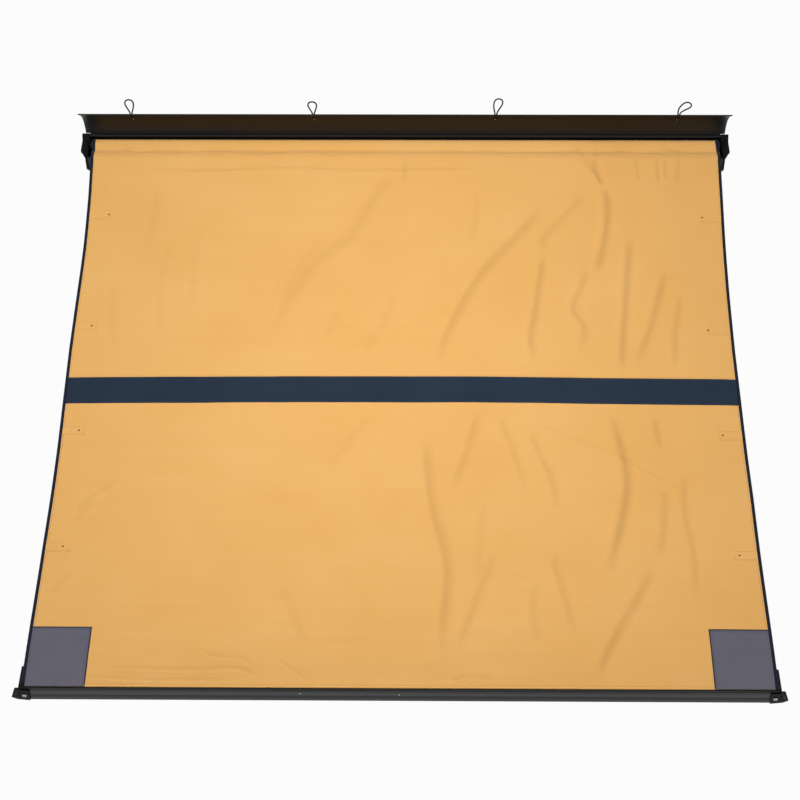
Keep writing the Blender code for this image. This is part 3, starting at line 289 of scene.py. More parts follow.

# %% [markdown]
# The canopy is coated polyester canvas: ochre, with a navy strip across the middle and slate patches at
# the front corners. The eye gets a matt colour that drifts a little, a plain weave, and faint rows
# where the cloth was rolled, which are bumps and also painted shade in the colour. Threads are about
# 0.5 mm apart on the real cloth; they are drawn at 1.6 mm so that they show at all. The UV map is in
# metres on the flat cloth, so the threads bend with the canopy. An attribute says how deep in a fold a
# place lies, and the colour is darkened there as painted shade in the creases.

# %% Canvas, binding, thread and braid
SHEEN = (0.12, 0.5)
DYE = {"Scale": 3.2, "Detail": 5.0, "Roughness": 0.6}
DYE_AND_PAINTED_ROW_SHADE_RANGE = {"From Min": 0.35, "From Max": 0.95}
WEAVE_SHADE = {"To Min": 0.93, "To Max": 1.03}
# painted shade in the creases: how far the colour darkens with the depth of a fold
PAINTED_FOLD_SHADE = {"From Max": 1.4, "To Min": 1.0, "To Max": 0.86}  # darker the deeper a fold is
ROLL_ROW_SCALE = (1.2, 28.0, 1.0)
# share of the roll rows in the colour: painted shade of their bumps
ROLL_ROWS_PAINTED_SHADE = 0.3
ROLL_IN_BUMP = 0.35
WAVES_IN_TEXTURE = 20


def wave_scale(spacing_mm):
    """The scale at which a wave texture's ridges lie this far apart."""
    return 1 / (spacing_mm * MM) / WAVES_IN_TEXTURE * math.tau


def canvas_finish(name, colours, thread_mm=1.6, bump_mm=0.10):
    """Plain woven cloth: crossing threads, drifting dye, and rows left by the roll as bumps with painted
    shade in the colour.
    """
    made, tree, sockets = new_finish(name, colours[0], 0.86, specular=0.25)
    sockets["Sheen Weight"].default_value, sockets["Sheen Roughness"].default_value = SHEEN
    flat = add_node(tree, "ShaderNodeTexCoord").outputs["UV"]
    warp, weft = (add_node(tree, "ShaderNodeTexWave", {"Scale": wave_scale(thread_mm), "Distortion": 0.0,
                                                       "Detail": 1.0}, {"Vector": flat},
                           bands_direction=way, wave_profile="SIN").outputs["Fac"] for way in "XY")
    weave = add_node(tree, "ShaderNodeMath", links={0: warp, 1: weft}, operation="MULTIPLY")
    dye = add_node(tree, "ShaderNodeTexNoise", DYE, {"Vector": flat})
    drawn = add_node(tree, "ShaderNodeMapping", {"Scale": ROLL_ROW_SCALE}, {"Vector": flat})
    rows = add_node(tree, "ShaderNodeTexNoise", {"Scale": 1.0, "Detail": 4.0}, {"Vector": drawn.outputs[0]})
    # the rows raise the bump and also shift the colour, which is painted shade of the rows
    row_painted_shade, ridges = (add_node(tree, "ShaderNodeMath", {1: share}, {0: rows.outputs["Fac"]},
                              operation="MULTIPLY").outputs[0] for share in (ROLL_ROWS_PAINTED_SHADE, ROLL_IN_BUMP))
    total = add_node(tree, "ShaderNodeMath", links={0: dye.outputs["Fac"], 1: row_painted_shade}, operation="ADD")
    shade = add_node(tree, "ShaderNodeMapRange", DYE_AND_PAINTED_ROW_SHADE_RANGE, {"Value": total.outputs[0]})
    tint = add_node(tree, "ShaderNodeMix", dict(zip((FIRST_COLOUR, SECOND_COLOUR), map(linear, colours))),
                    {0: shade.outputs[0]}, data_type="RGBA")
    dip = add_node(tree, "ShaderNodeMapRange", WEAVE_SHADE, {"Value": weave.outputs[0]})
    # painted shade: the colour is darkened where a place lies deep in a fold
    fold = add_node(tree, "ShaderNodeAttribute", attribute_name="fold")
    painted_crease_shade = add_node(tree, "ShaderNodeMapRange", PAINTED_FOLD_SHADE, {"Value": fold.outputs["Fac"]})
    toned = add_node(tree, "ShaderNodeMath", links={0: dip.outputs[0], 1: painted_crease_shade.outputs[0]},
                     operation="MULTIPLY")
    colour = add_node(tree, "ShaderNodeVectorMath", operation="MULTIPLY",
                      links={0: tint.outputs[MIXED_COLOUR], 1: toned.outputs[0]})
    tree.links.new(colour.outputs[0], sockets["Base Color"])
    height = add_node(tree, "ShaderNodeMath", links={0: weave.outputs[0], 1: ridges}, operation="ADD")
    bump = add_node(tree, "ShaderNodeBump", {"Strength": 0.5, "Distance": bump_mm * MM},
                    {"Height": height.outputs[0]})
    tree.links.new(bump.outputs[0], sockets["Normal"])
    return made


def braid_finish(name, colours, pitch_mm, bump_mm=0.2):
    """Elastic cord: two sets of diagonal threads over a stretchy core."""
    made, tree, sockets = new_finish(name, colours[0], 0.75, specular=0.3)
    spot = add_node(tree, "ShaderNodeTexCoord")
    sets = []
    for angle in (45, -45):
        turned = add_node(tree, "ShaderNodeMapping", {"Rotation": (0, 0, math.radians(angle))},
                          {"Vector": spot.outputs["UV"]})
        threads = add_node(tree, "ShaderNodeTexWave", {"Scale": wave_scale(pitch_mm), "Distortion": 0.0,
                                                       "Detail": 1.0}, {"Vector": turned.outputs[0]},
                           bands_direction="X", wave_profile="SIN")
        sets.append(threads.outputs["Fac"])
    crossed = add_node(tree, "ShaderNodeMath", links=dict(enumerate(sets)), operation="MULTIPLY")
    tint = add_node(tree, "ShaderNodeMix", dict(zip((FIRST_COLOUR, SECOND_COLOUR), map(linear, colours))),
                    {0: crossed.outputs[0]}, data_type="RGBA")
    tree.links.new(tint.outputs[MIXED_COLOUR], sockets["Base Color"])
    bump = add_node(tree, "ShaderNodeBump", {"Strength": 0.7, "Distance": bump_mm * MM},
                    {"Height": crossed.outputs[0]})
    tree.links.new(bump.outputs[0], sockets["Normal"])
    return made


ochre = canvas_finish("ochre_coated_canvas", ("#E5AC5F", "#EBB66E"))
navy = canvas_finish("navy_coated_canvas", ("#202C3B", "#283443"))
slate = canvas_finish("slate_coated_canvas", ("#62606C", "#6E6B77"))
binding = canvas_finish("navy_woven_binding", ("#141B28", "#1E2635"), thread_mm=2.0, bump_mm=0.2)
thread_brown = grained_finish("ochre_polyester_thread", ("#A8712F", "#BA8440"), 0.7, 0.6, 0.05)
thread_dark = grained_finish("navy_polyester_thread", ("#3A475C", "#4A586E"), 0.7, 0.6, 0.05)
braid = braid_finish("black_braided_elastic", ("#050506", "#131315"), 1.2)
print("soft finishes", [m.name for m in (ochre, navy, slate, binding, thread_brown, thread_dark, braid)])

# %% [markdown]
# Four elastic loops stand on the lid's lip. On the vehicle they hook over the closed cassette or hold
# its bag. Each is one short elastic whose two ends go back through one hole, so it is made as a tube
# that starts and ends in the object. Its route is the construction's own: up one side, over the
# top and down again, a drop shape turned and tipped as photographed.

# %% Stow loops
LID_HINGE = Vector((0.0, -0.0125, 0.0560))
LID_LEAN = math.radians(19.0)
LID_REACH = 0.124
LID_LIP_RADIUS = 0.0022
LOOP_PITCH = 0.612
LOOP_WIDTH = 0.039
LOOP_HEIGHT = 0.058
LOOP_CORD = 0.0048
LOOP_TURNS = (-4.0, -3.0, 11.0, 34.0)
LOOP_TIPS = (0.0, -0.18, 0.16, 0.0)
LOOP_FOOT = 0.0056
LOOP_SEAT = 0.0006
LOOP_STEPS = 72
CORD_SIDES = 14


def loop_foot(index):
    """Where a loop stands on the lid's lip."""
    middle = (index - (len(LOOP_TURNS) - 1) / 2) * LOOP_PITCH
    reach = Vector((0.0, -math.sin(LID_LEAN), math.cos(LID_LEAN))) * LID_REACH
    return LID_HINGE + reach + Vector((middle, 0.0, LID_LIP_RADIUS + LOOP_SEAT))


def loop_point(index, share):
    """A place on one loop, from 0 at one foot to 1 at the other."""
    rise = (1 - math.cos(math.tau * share)) / 2
    swell = -LOOP_WIDTH / 2 * math.sin(math.tau * share) * rise
    swell -= LOOP_FOOT / 2 * math.cos(math.pi * share)
    turn = math.radians(LOOP_TURNS[index]) * math.sin(rise * math.pi / 2)
    across = swell * math.cos(turn) + LOOP_HEIGHT * rise * math.sin(turn)
    up = LOOP_HEIGHT * rise * math.cos(turn) - swell * math.sin(turn)
    return loop_foot(index) + Vector((across, LOOP_TIPS[index] * up, up))


def tube_along(name, path, radius, sides, material):
    """A round tube on a path, with closed ends and a UV map in metres: round it, then along it."""
    shape = bmesh.new()
    sheet_map = shape.loops.layers.uv.new("UVMap")
    across = Vector((0.0, 1.0, 0.0))
    rings, walked = [], [0.0]
    for i, place in enumerate(path):
        way = (path[min(i + 1, len(path) - 1)] - path[max(i - 1, 0)]).normalized()
        across = (across - way * across.dot(way)).normalized()
        other = way.cross(across)
        rings.append([shape.verts.new(place + radius * (across * math.cos(math.tau * k / sides)
                                                        + other * math.sin(math.tau * k / sides)))
                      for k in range(sides)])
    for start, end in zip(path, path[1:]):
        walked.append(walked[-1] + (end - start).length)
    girth = math.tau * radius / sides
    for row, (ring, following) in enumerate(zip(rings, rings[1:])):
        for k in range(sides):
            after = (k + 1) % sides
            face = shape.faces.new((ring[k], ring[after], following[after], following[k]))
            spots = ((k, row), (k + 1, row), (k + 1, row + 1), (k, row + 1))
            for corner, (turn, along) in zip(face.loops, spots):
                corner[sheet_map].uv = (turn * girth, walked[along])
    shape.faces.new(rings[0][::-1])
    shape.faces.new(rings[-1])
    bmesh.ops.recalc_face_normals(shape, faces=shape.faces)
    return placed(name, baked(name, shape), material), walked[-1]


for index in range(len(LOOP_TURNS)):
    route = [loop_point(index, step / LOOP_STEPS) for step in range(LOOP_STEPS + 1)]
    loop, loop_length = tube_along(f"elastic_loop_{index + 1}", route, LOOP_CORD / 2, CORD_SIDES, braid)
    on_body(loop, "lid", f"stow_loop_{index + 1}")
    print(loop.name, "length", round(loop_length, 4), "m")

# %% [markdown]
# The canopy is the awning: one sheet about 2.13 m wide that leaves the roller, bends over the
# housing's lip and hangs, a little slack, to the lead rail. A flat plane with a bump would fool nobody
# from the side, so the sheet is a real surface. One function says where any point of the flat cloth
# lies: the sag between lip and rail, a slight crown across, then every crease and wave on top.

# %% The hanging line
CANOPY_WIDTH = 2.130
CANOPY_THICKNESS = 0.0012
CANOPY_CROWN = 0.010
PROJECTION = 1.948
DROP = 0.365
SAG_DEPTH = 0.0745
SAG_SHAPE = ((0.0, 0.0), (0.08, 0.48), (0.17, 0.886), (0.32, 1.0), (0.57, 0.987),
             (0.76, 0.611), (0.94, 0.08), (1.0, 0.0))
SAG_SAMPLES = 400
HOUSING_DEPTH = 0.112
LIP_HEIGHT = 0.0385
CLOTH_GAP = 0.0005
LIP_TOP = Vector((0.0, -HOUSING_DEPTH, LIP_HEIGHT + CANOPY_THICKNESS + CLOTH_GAP))
GROOVE = LIP_TOP + Vector((0.0, -PROJECTION, -DROP))


def sag_at(share):
    """Depth of the hanging cloth below a straight line, by a smooth curve through SAG_SHAPE."""
    last = len(SAG_SHAPE) - 1
    slopes = [(SAG_SHAPE[min(i + 1, last)][1] - SAG_SHAPE[max(i - 1, 0)][1])
              / (SAG_SHAPE[min(i + 1, last)][0] - SAG_SHAPE[max(i - 1, 0)][0])
              for i in range(last + 1)]
    index = next((i for i in range(last) if share <= SAG_SHAPE[i + 1][0]), last - 1)
    low, high = SAG_SHAPE[index], SAG_SHAPE[index + 1]
    width = high[0] - low[0]
    t = (share - low[0]) / width
    level = low[1] * (2 * t ** 3 - 3 * t ** 2 + 1) + high[1] * (3 * t ** 2 - 2 * t ** 3)
    level += width * (slopes[index] * (t ** 3 - 2 * t ** 2 + t) + slopes[index + 1] * (t ** 3 - t ** 2))
    return SAG_DEPTH * level


SAG_TABLE = (np.linspace(0, 1, SAG_SAMPLES + 1),
             np.array([sag_at(i / SAG_SAMPLES) for i in range(SAG_SAMPLES + 1)]))
print("deepest sag", round(SAG_TABLE[1].max() * 1000, 1), "mm")

# %% [markdown]
# Creases. Cloth that has been rolled and pulled shows long soft folds that run from where it is held
# towards where it is pulled, fine rows parallel to the roller, and a slow swell over the whole width.
# The folds are chosen from the photograph, each as a few places on the flat cloth with a width
# and a depth, and each has one steep side. The rows and the swell are noise with a fixed seed.

# %% Folds of the cloth
# each line: a fold's width and depth in tenths of a millimetre, then the places it runs through,
# across from the middle and forward of the lip in turn, in millimetres
CREASES = {
    "along the lip, and the tucks that start there": """
        90 30 -870 46 -700 47 -380 36 -200 44 0 43 170 38 340 40
        80 40 -1 0 -1 90
        140 60 633 0 645 50 665 100
        120 35 600 0 640 60
        80 25 780 0 786 85
        90 32 850 0 852 90
        80 28 880 0 876 80
        90 25 925 0 915 95""",
    "short folds behind the lip, where the cloth comes off the roller": """
        90 30 -960 -52 -900 -30 -860 -34
        100 26 -780 -20 -660 -40 -580 -34
        120 24 -500 -12 -400 -30
        100 24 300 -16 420 -36 500 -30
        100 34 585 -60 600 0
        100 36 655 -58 633 0
        90 30 700 -50 800 -30 900 -10
        90 30 860 -55 950 -35 1000 -12""",
    "the fan over the rear cloth": """
        160 40 610 120 533 210 464 290 462 340
        180 60 483 150 385 270 320 340 250 440 195 550 140 690 112 800
        170 55 466 340 450 450 436 560 416 680 428 790
        180 40 608 400 585 480 556 570 590 640 560 760
        180 60 672 100 680 200 660 330 632 430
        180 55 755 260 738 420 727 550 708 720 700 820
        180 45 868 400 820 580 795 660 745 790
        160 30 910 500 880 660 870 800
        180 25 245 120 235 240 215 300
        220 40 -20 60 -85 110 -155 240 -193 290 -280 360 -343 460 -400 600 -435 720
        160 25 -270 280 -330 370 -372 460 -410 580
        180 25 -30 500 -60 620 -120 740
        180 22 -205 580 -250 680
        200 25 -835 100 -850 240 -872 360
        200 22 -960 450 -945 600 -930 740
        180 20 -790 300 -800 500 -780 700
        180 20 -690 220 -700 420 -680 600""",
    "long falls over the front cloth": """
        180 60 76 1050 80 1160 95 1320 135 1500 138 1600 125 1750 120 1910
        170 42 245 960 215 1070 190 1160 150 1260
        180 35 283 1480 240 1600 200 1720 165 1840
        180 22 250 1300 235 1450 220 1620
        160 30 300 970 330 1060 355 1150 378 1270
        160 38 400 1040 430 1130 458 1220 478 1340
        160 35 450 1490 475 1620 503 1780
        80 22 370 985 640 1112 710 1157 920 1294
        200 62 655 950 680 1100 690 1220 668 1350 640 1460 612 1570
        200 45 750 1520 690 1650 645 1730 590 1840 555 1930
        160 35 790 980 800 1100
        180 30 800 1240 790 1380 765 1500
        160 28 865 1180 855 1340 870 1500 860 1660
        160 25 395 1580 385 1700 400 1800
        180 28 -360 1600 -310 1720 -275 1820
        160 22 -105 980 -170 1090 -235 1170""",
    "tucks that the left binding pulls in": """
        80 36 -980 1335 -945 1290 -855 1212
        80 28 -985 1375 -925 1300
        90 30 -1020 1640 -990 1590 -965 1550
        90 25 -1000 1520 -975 1480 -945 1450""",
    "the hem's own small folds": """
        60 28 -900 1918 -750 1926 -600 1928 -450 1922
        70 26 -860 1888 -600 1896 -460 1892 -400 1920
        80 24 -555 1838 -530 1852 -450 1860 -400 1900
        80 22 -350 1860 -260 1928
        70 24 140 1928 200 1915 280 1926""",
}
RIDGE_SHARE = 0.55
VALLEY = (-0.30, 0.75)  # where the low and the high side of a fold lie, and how broad, in its widths
RIDGE = (0.85, 0.85)
FADE_IN = 6
FADE_OUT = 4
FULL_PAINTED_SHADE_FOLD = 0.006
FAR = 9.0
SWELL = (0.0030, 0.42, 1.0, 3.1)  # each noise: height, size, how far drawn out across, seed
ROWS = (0.0011, 0.026, 7.0, 8.7)
RIPPLE = (0.0009, 0.085, 1.6, 5.3)
ROW_LEAST = 0.25
ROW_PLACES = ((1.75, 0.22, 0.9), (1.3, 0.2, 0.4))  # where rows gather, how broadly, how strongly
LIP_SLACK = 0.12
LIP_RISE = 0.035
RAIL_RISE = 0.02


def smooth_line(points, per=4):
    """A Catmull-Rom curve through given points."""
    chain = [points[0], *points, points[-1]]
    line = []
    for a, b, c, d in zip(chain, chain[1:], chain[2:], chain[3:]):
        for t in np.arange(per) / per:
            line.append(tuple(0.5 * (2 * b[k] + (c[k] - a[k]) * t
                                     + (2 * a[k] - 5 * b[k] + 4 * c[k] - d[k]) * t * t
                                     + (3 * b[k] - a[k] - 3 * c[k] + d[k]) * t ** 3) for k in (0, 1)))
    return line + [points[-1]]


folds = []
for row in "\n".join(CREASES.values()).splitlines():
    if row.strip():
        width, deep, *run = (int(word) for word in row.split())
        points = [(x / 1000, d / 1000) for x, d in zip(run[::2], run[1::2])]
        folds.append((width / 10000, deep / 10000, smooth_line(points)))


def crease_relief(x, d):
    """Height of the folds at places on the flat cloth, and how deep in a fold each place lies, for the
    painted shade of the creases.
    """
    height, depth = np.zeros_like(x), np.zeros_like(x)
    for width, deep, line in folds:
        nearest, along, side = np.full_like(x, FAR), np.zeros_like(x), np.zeros_like(x)
        for number, ((x0, d0), (x1, d1)) in enumerate(zip(line, line[1:])):
            run = (x1 - x0, d1 - d0)
            t = np.clip(((x - x0) * run[0] + (d - d0) * run[1]) / (run[0] ** 2 + run[1] ** 2), 0, 1)
            away = np.hypot(x - x0 - t * run[0], d - d0 - t * run[1])
            closer = away < nearest
            nearest = np.where(closer, away, nearest)
            along = np.where(closer, (number + t) / (len(line) - 1), along)
            side = np.where(closer, np.sign((d - d0) * run[0] - (x - x0) * run[1]), side)
        fade = np.clip(along * FADE_IN, 0, 1) * np.clip((1 - along) * FADE_OUT, 0, 1)
        fade = fade * fade * (3 - 2 * fade)
        u = side * nearest / width
        valley, ridge = (np.exp(-((u - at) / broad) ** 2) for at, broad in (VALLEY, RIDGE))
        height += deep * fade * (RIDGE_SHARE * ridge - valley)
        # the depth in a fold drives the painted shade of the creases
        depth += deep / FULL_PAINTED_SHADE_FOLD * fade * valley
    return height, depth


def noise_grid(x, d, height, size, stretch, seed):
    """Smooth noise sampled over the cloth; stretch above 1 draws it out across the width."""
    flat = [noise.noise(Vector((a / (size * stretch), b / size, seed)))
            for a, b in zip(x.ravel(), d.ravel())]
    return height * np.array(flat).reshape(x.shape)


def relief(x, d):
    """Height of the cloth above its smooth hanging surface; it is held flat at lip and rail."""
    held = np.clip(LIP_SLACK + abs(d) / LIP_RISE, 0, 1) * np.clip((PROJECTION - d) / RAIL_RISE, 0, 1)
    rows = sum((strong * np.exp(-((d - at) / broad) ** 2) for at, broad, strong in ROW_PLACES), ROW_LEAST)
    total = crease_relief(x, d)[0] + noise_grid(x, d, *SWELL)
    return (total + rows * noise_grid(x, d, *ROWS) + noise_grid(x, d, *RIPPLE)) * held


print("folds", len(folds))

# %% [markdown]
# From flat cloth to space. The place of a point is the hanging line plus the relief. The edges are
# bound and pulled straight, so the crown and the relief fade there. Where the cloth still lies on the
# roller, the same relief follows an arc round it and a line to the lip.

# %% The surface
# how far each edge stands from the middle at distances from the lip: the cloth hangs a little askew
LEFT_EDGE = ((-0.07, 1.0640), (-0.02, 1.0655), (0.01, 1.0625), (0.15, 1.0608), (0.33, 1.0626),
             (0.53, 1.0661), (0.73, 1.0681), (0.92, 1.0669), (1.11, 1.0648), (1.29, 1.0642),
             (1.48, 1.0650), (PROJECTION, 1.0650))
RIGHT_EDGE = ((-0.07, 1.0640), (-0.02, 1.0680), (0.01, 1.0660), (0.15, 1.0654), (0.33, 1.0633),
              (0.52, 1.0602), (0.72, 1.0591), (0.91, 1.0610), (1.10, 1.0623), (1.28, 1.0644),
              (1.47, 1.0634), (PROJECTION, 1.0650))
ROLLER = Vector((0.0, -0.038, 0.0265))
ROLLER_RADIUS = 0.020
WOUND = 0.003
LIP_DIP = 0.0085
DIP_AT = 0.42
DIP_SPAN = 0.24
EDGE_RISE = 12
EDGE_LEAST = 0.35
ROUND_ROLLER = 28
TO_LIP = 24
ROLL_BACK = math.radians(-20)
GRID_STEP = 0.007
FINE_STEP = 0.003


def askew(x, d):
    """Cloth widths moved to where the two edges really stand."""
    left, right = (np.interp(d, *zip(*edge)) for edge in (LEFT_EDGE, RIGHT_EDGE))
    return x * (left + right) / CANOPY_WIDTH + (right - left) / 2


def hang(x, d):
    """Places of cloth points x across and d forward of the lip, as an array of (x, y, z)."""
    share = d / PROJECTION
    line = np.interp(share, *SAG_TABLE)
    centre = 1 - (2 * x / CANOPY_WIDTH) ** 2
    crown = CANOPY_CROWN * centre * 4 * share * (1 - share)
    rise = relief(x, d) * np.clip(centre * EDGE_RISE, EDGE_LEAST, 1)
    height = LIP_TOP.z - DROP * share - line + crown + rise
    return np.stack([askew(x, d), LIP_TOP.y - d, height], axis=-1)


def hang_one(x, d):
    """The place of one point of the cloth."""
    return Vector(hang(np.array([[x]]), np.array([[d]]))[0, 0])


def roll_line():
    """The cloth's profile from behind the roller, over it and with a dip to the lip, as (y, z)."""
    radius = ROLLER_RADIUS + WOUND + CLOTH_GAP + CANOPY_THICKNESS / 2
    to_lip = LIP_TOP - ROLLER
    leaves = math.atan2(to_lip.z, to_lip.y) - math.acos(radius / to_lip.length)
    points = [(ROLLER.y + radius * math.cos(a), ROLLER.z + radius * math.sin(a))
              for a in np.linspace(ROLL_BACK, leaves, ROUND_ROLLER)]
    start, end = points[-1], (LIP_TOP.y, LIP_TOP.z)
    for t in np.linspace(0, 1, TO_LIP)[1:]:
        dip = LIP_DIP * math.exp(-((t - DIP_AT) / DIP_SPAN) ** 2) * math.sin(math.pi * t)
        points.append((start[0] + (end[0] - start[0]) * t, start[1] + (end[1] - start[1]) * t - dip))
    return points


def sheet_from_grid(name, grid, flat_x, flat_d, thickness, lift, material):
    """A closed sheet round a grid of places, with the flat cloth's metres as its UV map."""
    normal = np.cross(np.gradient(grid, axis=0), np.gradient(grid, axis=1))
    normal /= np.linalg.norm(normal, axis=-1, keepdims=True)
    normal *= np.sign(normal[..., 2].sum())
    top = (grid + normal * (lift + thickness / 2)).reshape(-1, 3)
    base = (grid + normal * (lift - thickness / 2)).reshape(-1, 3)
    count = len(top)
    number = np.arange(count).reshape(grid.shape[:2])
    quads = np.stack([number[:-1, :-1], number[1:, :-1], number[1:, 1:], number[:-1, 1:]], -1)
    quads = quads.reshape(-1, 4)
    rim = np.concatenate([number[0, :], number[1:, -1], number[-1, -2::-1], number[-2:0:-1, 0]])
    after = np.roll(rim, -1)
    walls = np.stack([rim, after, after + count, rim + count], -1)
    faces = np.concatenate([quads, quads[:, ::-1] + count, walls])
    mesh = bpy.data.meshes.new(name)
    mesh.from_pydata(np.concatenate([top, base]).tolist(), [], faces.tolist())
    flat = np.tile(np.stack([flat_x.ravel(), flat_d.ravel()], -1), (2, 1))
    corner_verts = np.empty(len(mesh.loops), np.int32)
    mesh.loops.foreach_get("vertex_index", corner_verts)
    layer = mesh.uv_layers.new(name="UVMap")
    layer.data.foreach_set("uv", flat[corner_verts].astype(np.float32).ravel())
    # how deep in a fold each point lies, read by the painted crease shade of the cloth
    shade = mesh.attributes.new("fold", "FLOAT", "POINT")
    fold = crease_relief(flat_x, flat_d)[1]
    shade.data.foreach_set("value", np.tile(fold.ravel(), 2).astype(np.float32))
    mesh.update()
    shape = bmesh.new()
    shape.from_mesh(mesh)
    bmesh.ops.recalc_face_normals(shape, faces=shape.faces)
    shape.to_mesh(mesh)
    shape.free()
    return placed(name, mesh, material, 60)


def steps_between(start, end, step):
    """Even stations from start to end, about a step apart."""
    return np.linspace(start, end, max(2, round(abs(end - start) / step) + 1))


def hung_sheet(name, x_range, d_range, thickness, lift, material, step=GRID_STEP, fine_to=None):
    """A piece of the canopy between two widths and two distances; rows are closer up to fine_to."""
    start = fine_to or d_range[0]
    down = steps_between(start, d_range[1], step)
    if fine_to:
        down = np.concatenate([np.arange(d_range[0], start, FINE_STEP), down])
    flat_x, flat_d = np.meshgrid(steps_between(*x_range, step), down)
    return sheet_from_grid(name, hang(flat_x, flat_d), flat_x, flat_d, thickness, lift, material)


print("surface ready; lip", [round(v, 4) for v in LIP_TOP], "groove", [round(v, 4) for v in GROOVE])

# %% [markdown]
# When the awning is wound in, the rail travels 1.9 m to the housing and the real cloth goes round the
# roller. Here each stretch of cloth gets a way and a share by which it would fold up towards the body
# that holds it: the rear stretch towards the lip, the middle and front ones towards the rail's groove.
# Their lines of folding are worked out so that the stretches would stay joined at every place of the
# rail, and end in the gap behind it. The pieces are not folded here; they only ride on their bodies.

# %% How each stretch would fold when the rail comes home
STRIP_START = 0.835
STRIP_WIDTH = 0.098
PATCH_DEPTH = 0.1955
FOLD_GAP = 0.0110
FOLD_DROP = 0.002
RAIL_TOP_SHARE = 0.0720
patch_start = PROJECTION - PATCH_DEPTH
slide = next(joint for joint in frame["joints"] if joint["name"] == "rail_slide")
travel = Vector(slide["axis"]).normalized() * slide["range_m"][1]
seam_widths = np.linspace(-CANOPY_WIDTH / 2, CANOPY_WIDTH / 2, 301)[None, :]
seam_line = hang(seam_widths, np.full_like(seam_widths, STRIP_START))[0]
seam_place = Vector((0.0, LIP_TOP.y - STRIP_START, float(seam_line[:, 2].max())))
meeting = Vector((0.0, LIP_TOP.y - FOLD_GAP, LIP_TOP.z - FOLD_DROP))

rear_move = meeting - seam_place
rear_way = rear_move.normalized()
rear_keep = 1 - rear_move.length / abs((seam_place - LIP_TOP).dot(rear_way))
front_move = meeting - seam_place - travel
front_way = (-front_move).normalized()
seam_along = (seam_place - GROOVE).dot(front_way)
patch_along = (hang_one(0.0, patch_start) - GROOVE).dot(front_way)
seam_end = seam_along - front_move.length
front_keep = RAIL_TOP_SHARE / patch_along
middle_keep = (seam_end - RAIL_TOP_SHARE) / (seam_along - patch_along)
still = (RAIL_TOP_SHARE - middle_keep * patch_along) / (1 - middle_keep)
STRETCHES = {
    "rear": ("housing", rear_way, LIP_TOP, rear_keep),
    "middle": ("lead_rail", front_way, GROOVE + front_way * still, middle_keep),
    "front": ("lead_rail", front_way, GROOVE, front_keep),
}
LIMITS = {"rear": (0.0, STRIP_START), "middle": (STRIP_START, patch_start),
          "front": (patch_start, PROJECTION)}


def fold_with(piece, stretch, stands_for=None):
    """Ride on the stretch's body, in a node's place if one is given, with a mesh of its own."""
    body, way, anchor, keep = STRETCHES[stretch]
    on_body(piece, body, stands_for)
    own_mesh(piece)
    return piece


for stretch, (body, way, anchor, keep) in STRETCHES.items():
    print(stretch, body, "keep", round(keep, 5), "along", [round(v, 4) for v in way])

# %% [markdown]
# The panels. The maker joins ochre cloth, a navy strip and ochre cloth again, binds both long edges,
# and sews slate patches over the front corners where the rafters rub. The strip and the patches lie a
# hair above the ochre, as sewn layers do. Every panel is cut out of the same surface, so they meet.

# %% Panels, strip and patches
PIPING_WIDTH = 0.010
PATCH_WIDTH = 0.170
PATCH_THICKNESS = 0.0008
STRIP_LIFT = 0.0006
HAIR = 0.0001
FREE_STRETCH = 0.072
FREE_RISE = 0.03
PANEL_HALF = CANOPY_WIDTH / 2 - PIPING_WIDTH
SIDES = (("left", -1), ("right", 1))
panel_x = (-PANEL_HALF, PANEL_HALF)
strip_end = STRIP_START + STRIP_WIDTH
PANELS = (  # name, stretch, from, to, lift, cloth, slot, the node it stands for, rows
    ("canopy_rear_cloth", "rear", 0.0, STRIP_START, 0.0, ochre, "ochre_fabric", "canopy_rear_panel",
     {"fine_to": 0.105}),
    ("canopy_navy_strip", "middle", STRIP_START, strip_end, STRIP_LIFT, navy, "navy_fabric",
     "canopy_middle_strip", {}),
    ("canopy_middle_cloth", "middle", strip_end, patch_start, 0.0, ochre, "ochre_fabric", None, {}),
    ("canopy_front_cloth", "front", patch_start, PROJECTION, 0.0, ochre, "ochre_fabric",
     "canopy_front_panel", {"step": 0.005}),
)


profile = np.array(roll_line())
walked = np.concatenate([[0.0], np.cumsum(np.linalg.norm(np.diff(profile, axis=0), axis=1))])
roll_x, roll_row = np.meshgrid(steps_between(*panel_x, GRID_STEP), np.arange(len(profile)))
behind = walked[roll_row] - walked[-1]
waves = relief(roll_x, behind) * np.clip((behind + FREE_STRETCH) / FREE_RISE, 0, 1)
roll_grid = np.stack([askew(roll_x, behind), profile[roll_row, 0], profile[roll_row, 1] + waves], -1)
roll_cloth = sheet_from_grid("canopy_on_roller", roll_grid, roll_x, behind, CANOPY_THICKNESS, 0.0, ochre)
on_body(roll_cloth, "housing")
for name, stretch, start, end, lift, cloth, slot, node, rows in PANELS:
    panel = hung_sheet(name, panel_x, (start, end), CANOPY_THICKNESS, lift, cloth, **rows)
    fold_with(panel, stretch, node)
for side, sign in SIDES:
    edges = sorted((sign * PANEL_HALF, sign * (PANEL_HALF - PATCH_WIDTH)))
    patch = hung_sheet(f"corner_reinforcement_{side}", edges, (patch_start, PROJECTION),
                       PATCH_THICKNESS, CANOPY_THICKNESS + HAIR, slate)
    fold_with(patch, "front", f"corner_patch_{side}")
print("panels", len(PANELS), "patches", len(SIDES))

# %% [markdown]
# Edge binding. A folded tape wraps each long edge, thicker than the cloth, and reads as a dark cord
# from any distance. It follows a path, so Geometry Nodes make it: the path is the cloth's own edge, and
# a flattened round profile is swept along it. The result is turned into a plain mesh for each stretch.

# %% Sweep a profile along a path with Geometry Nodes
BINDING_HALF = 0.0052
BINDING_FLATNESS = 0.42
PATH_STEP = 0.012


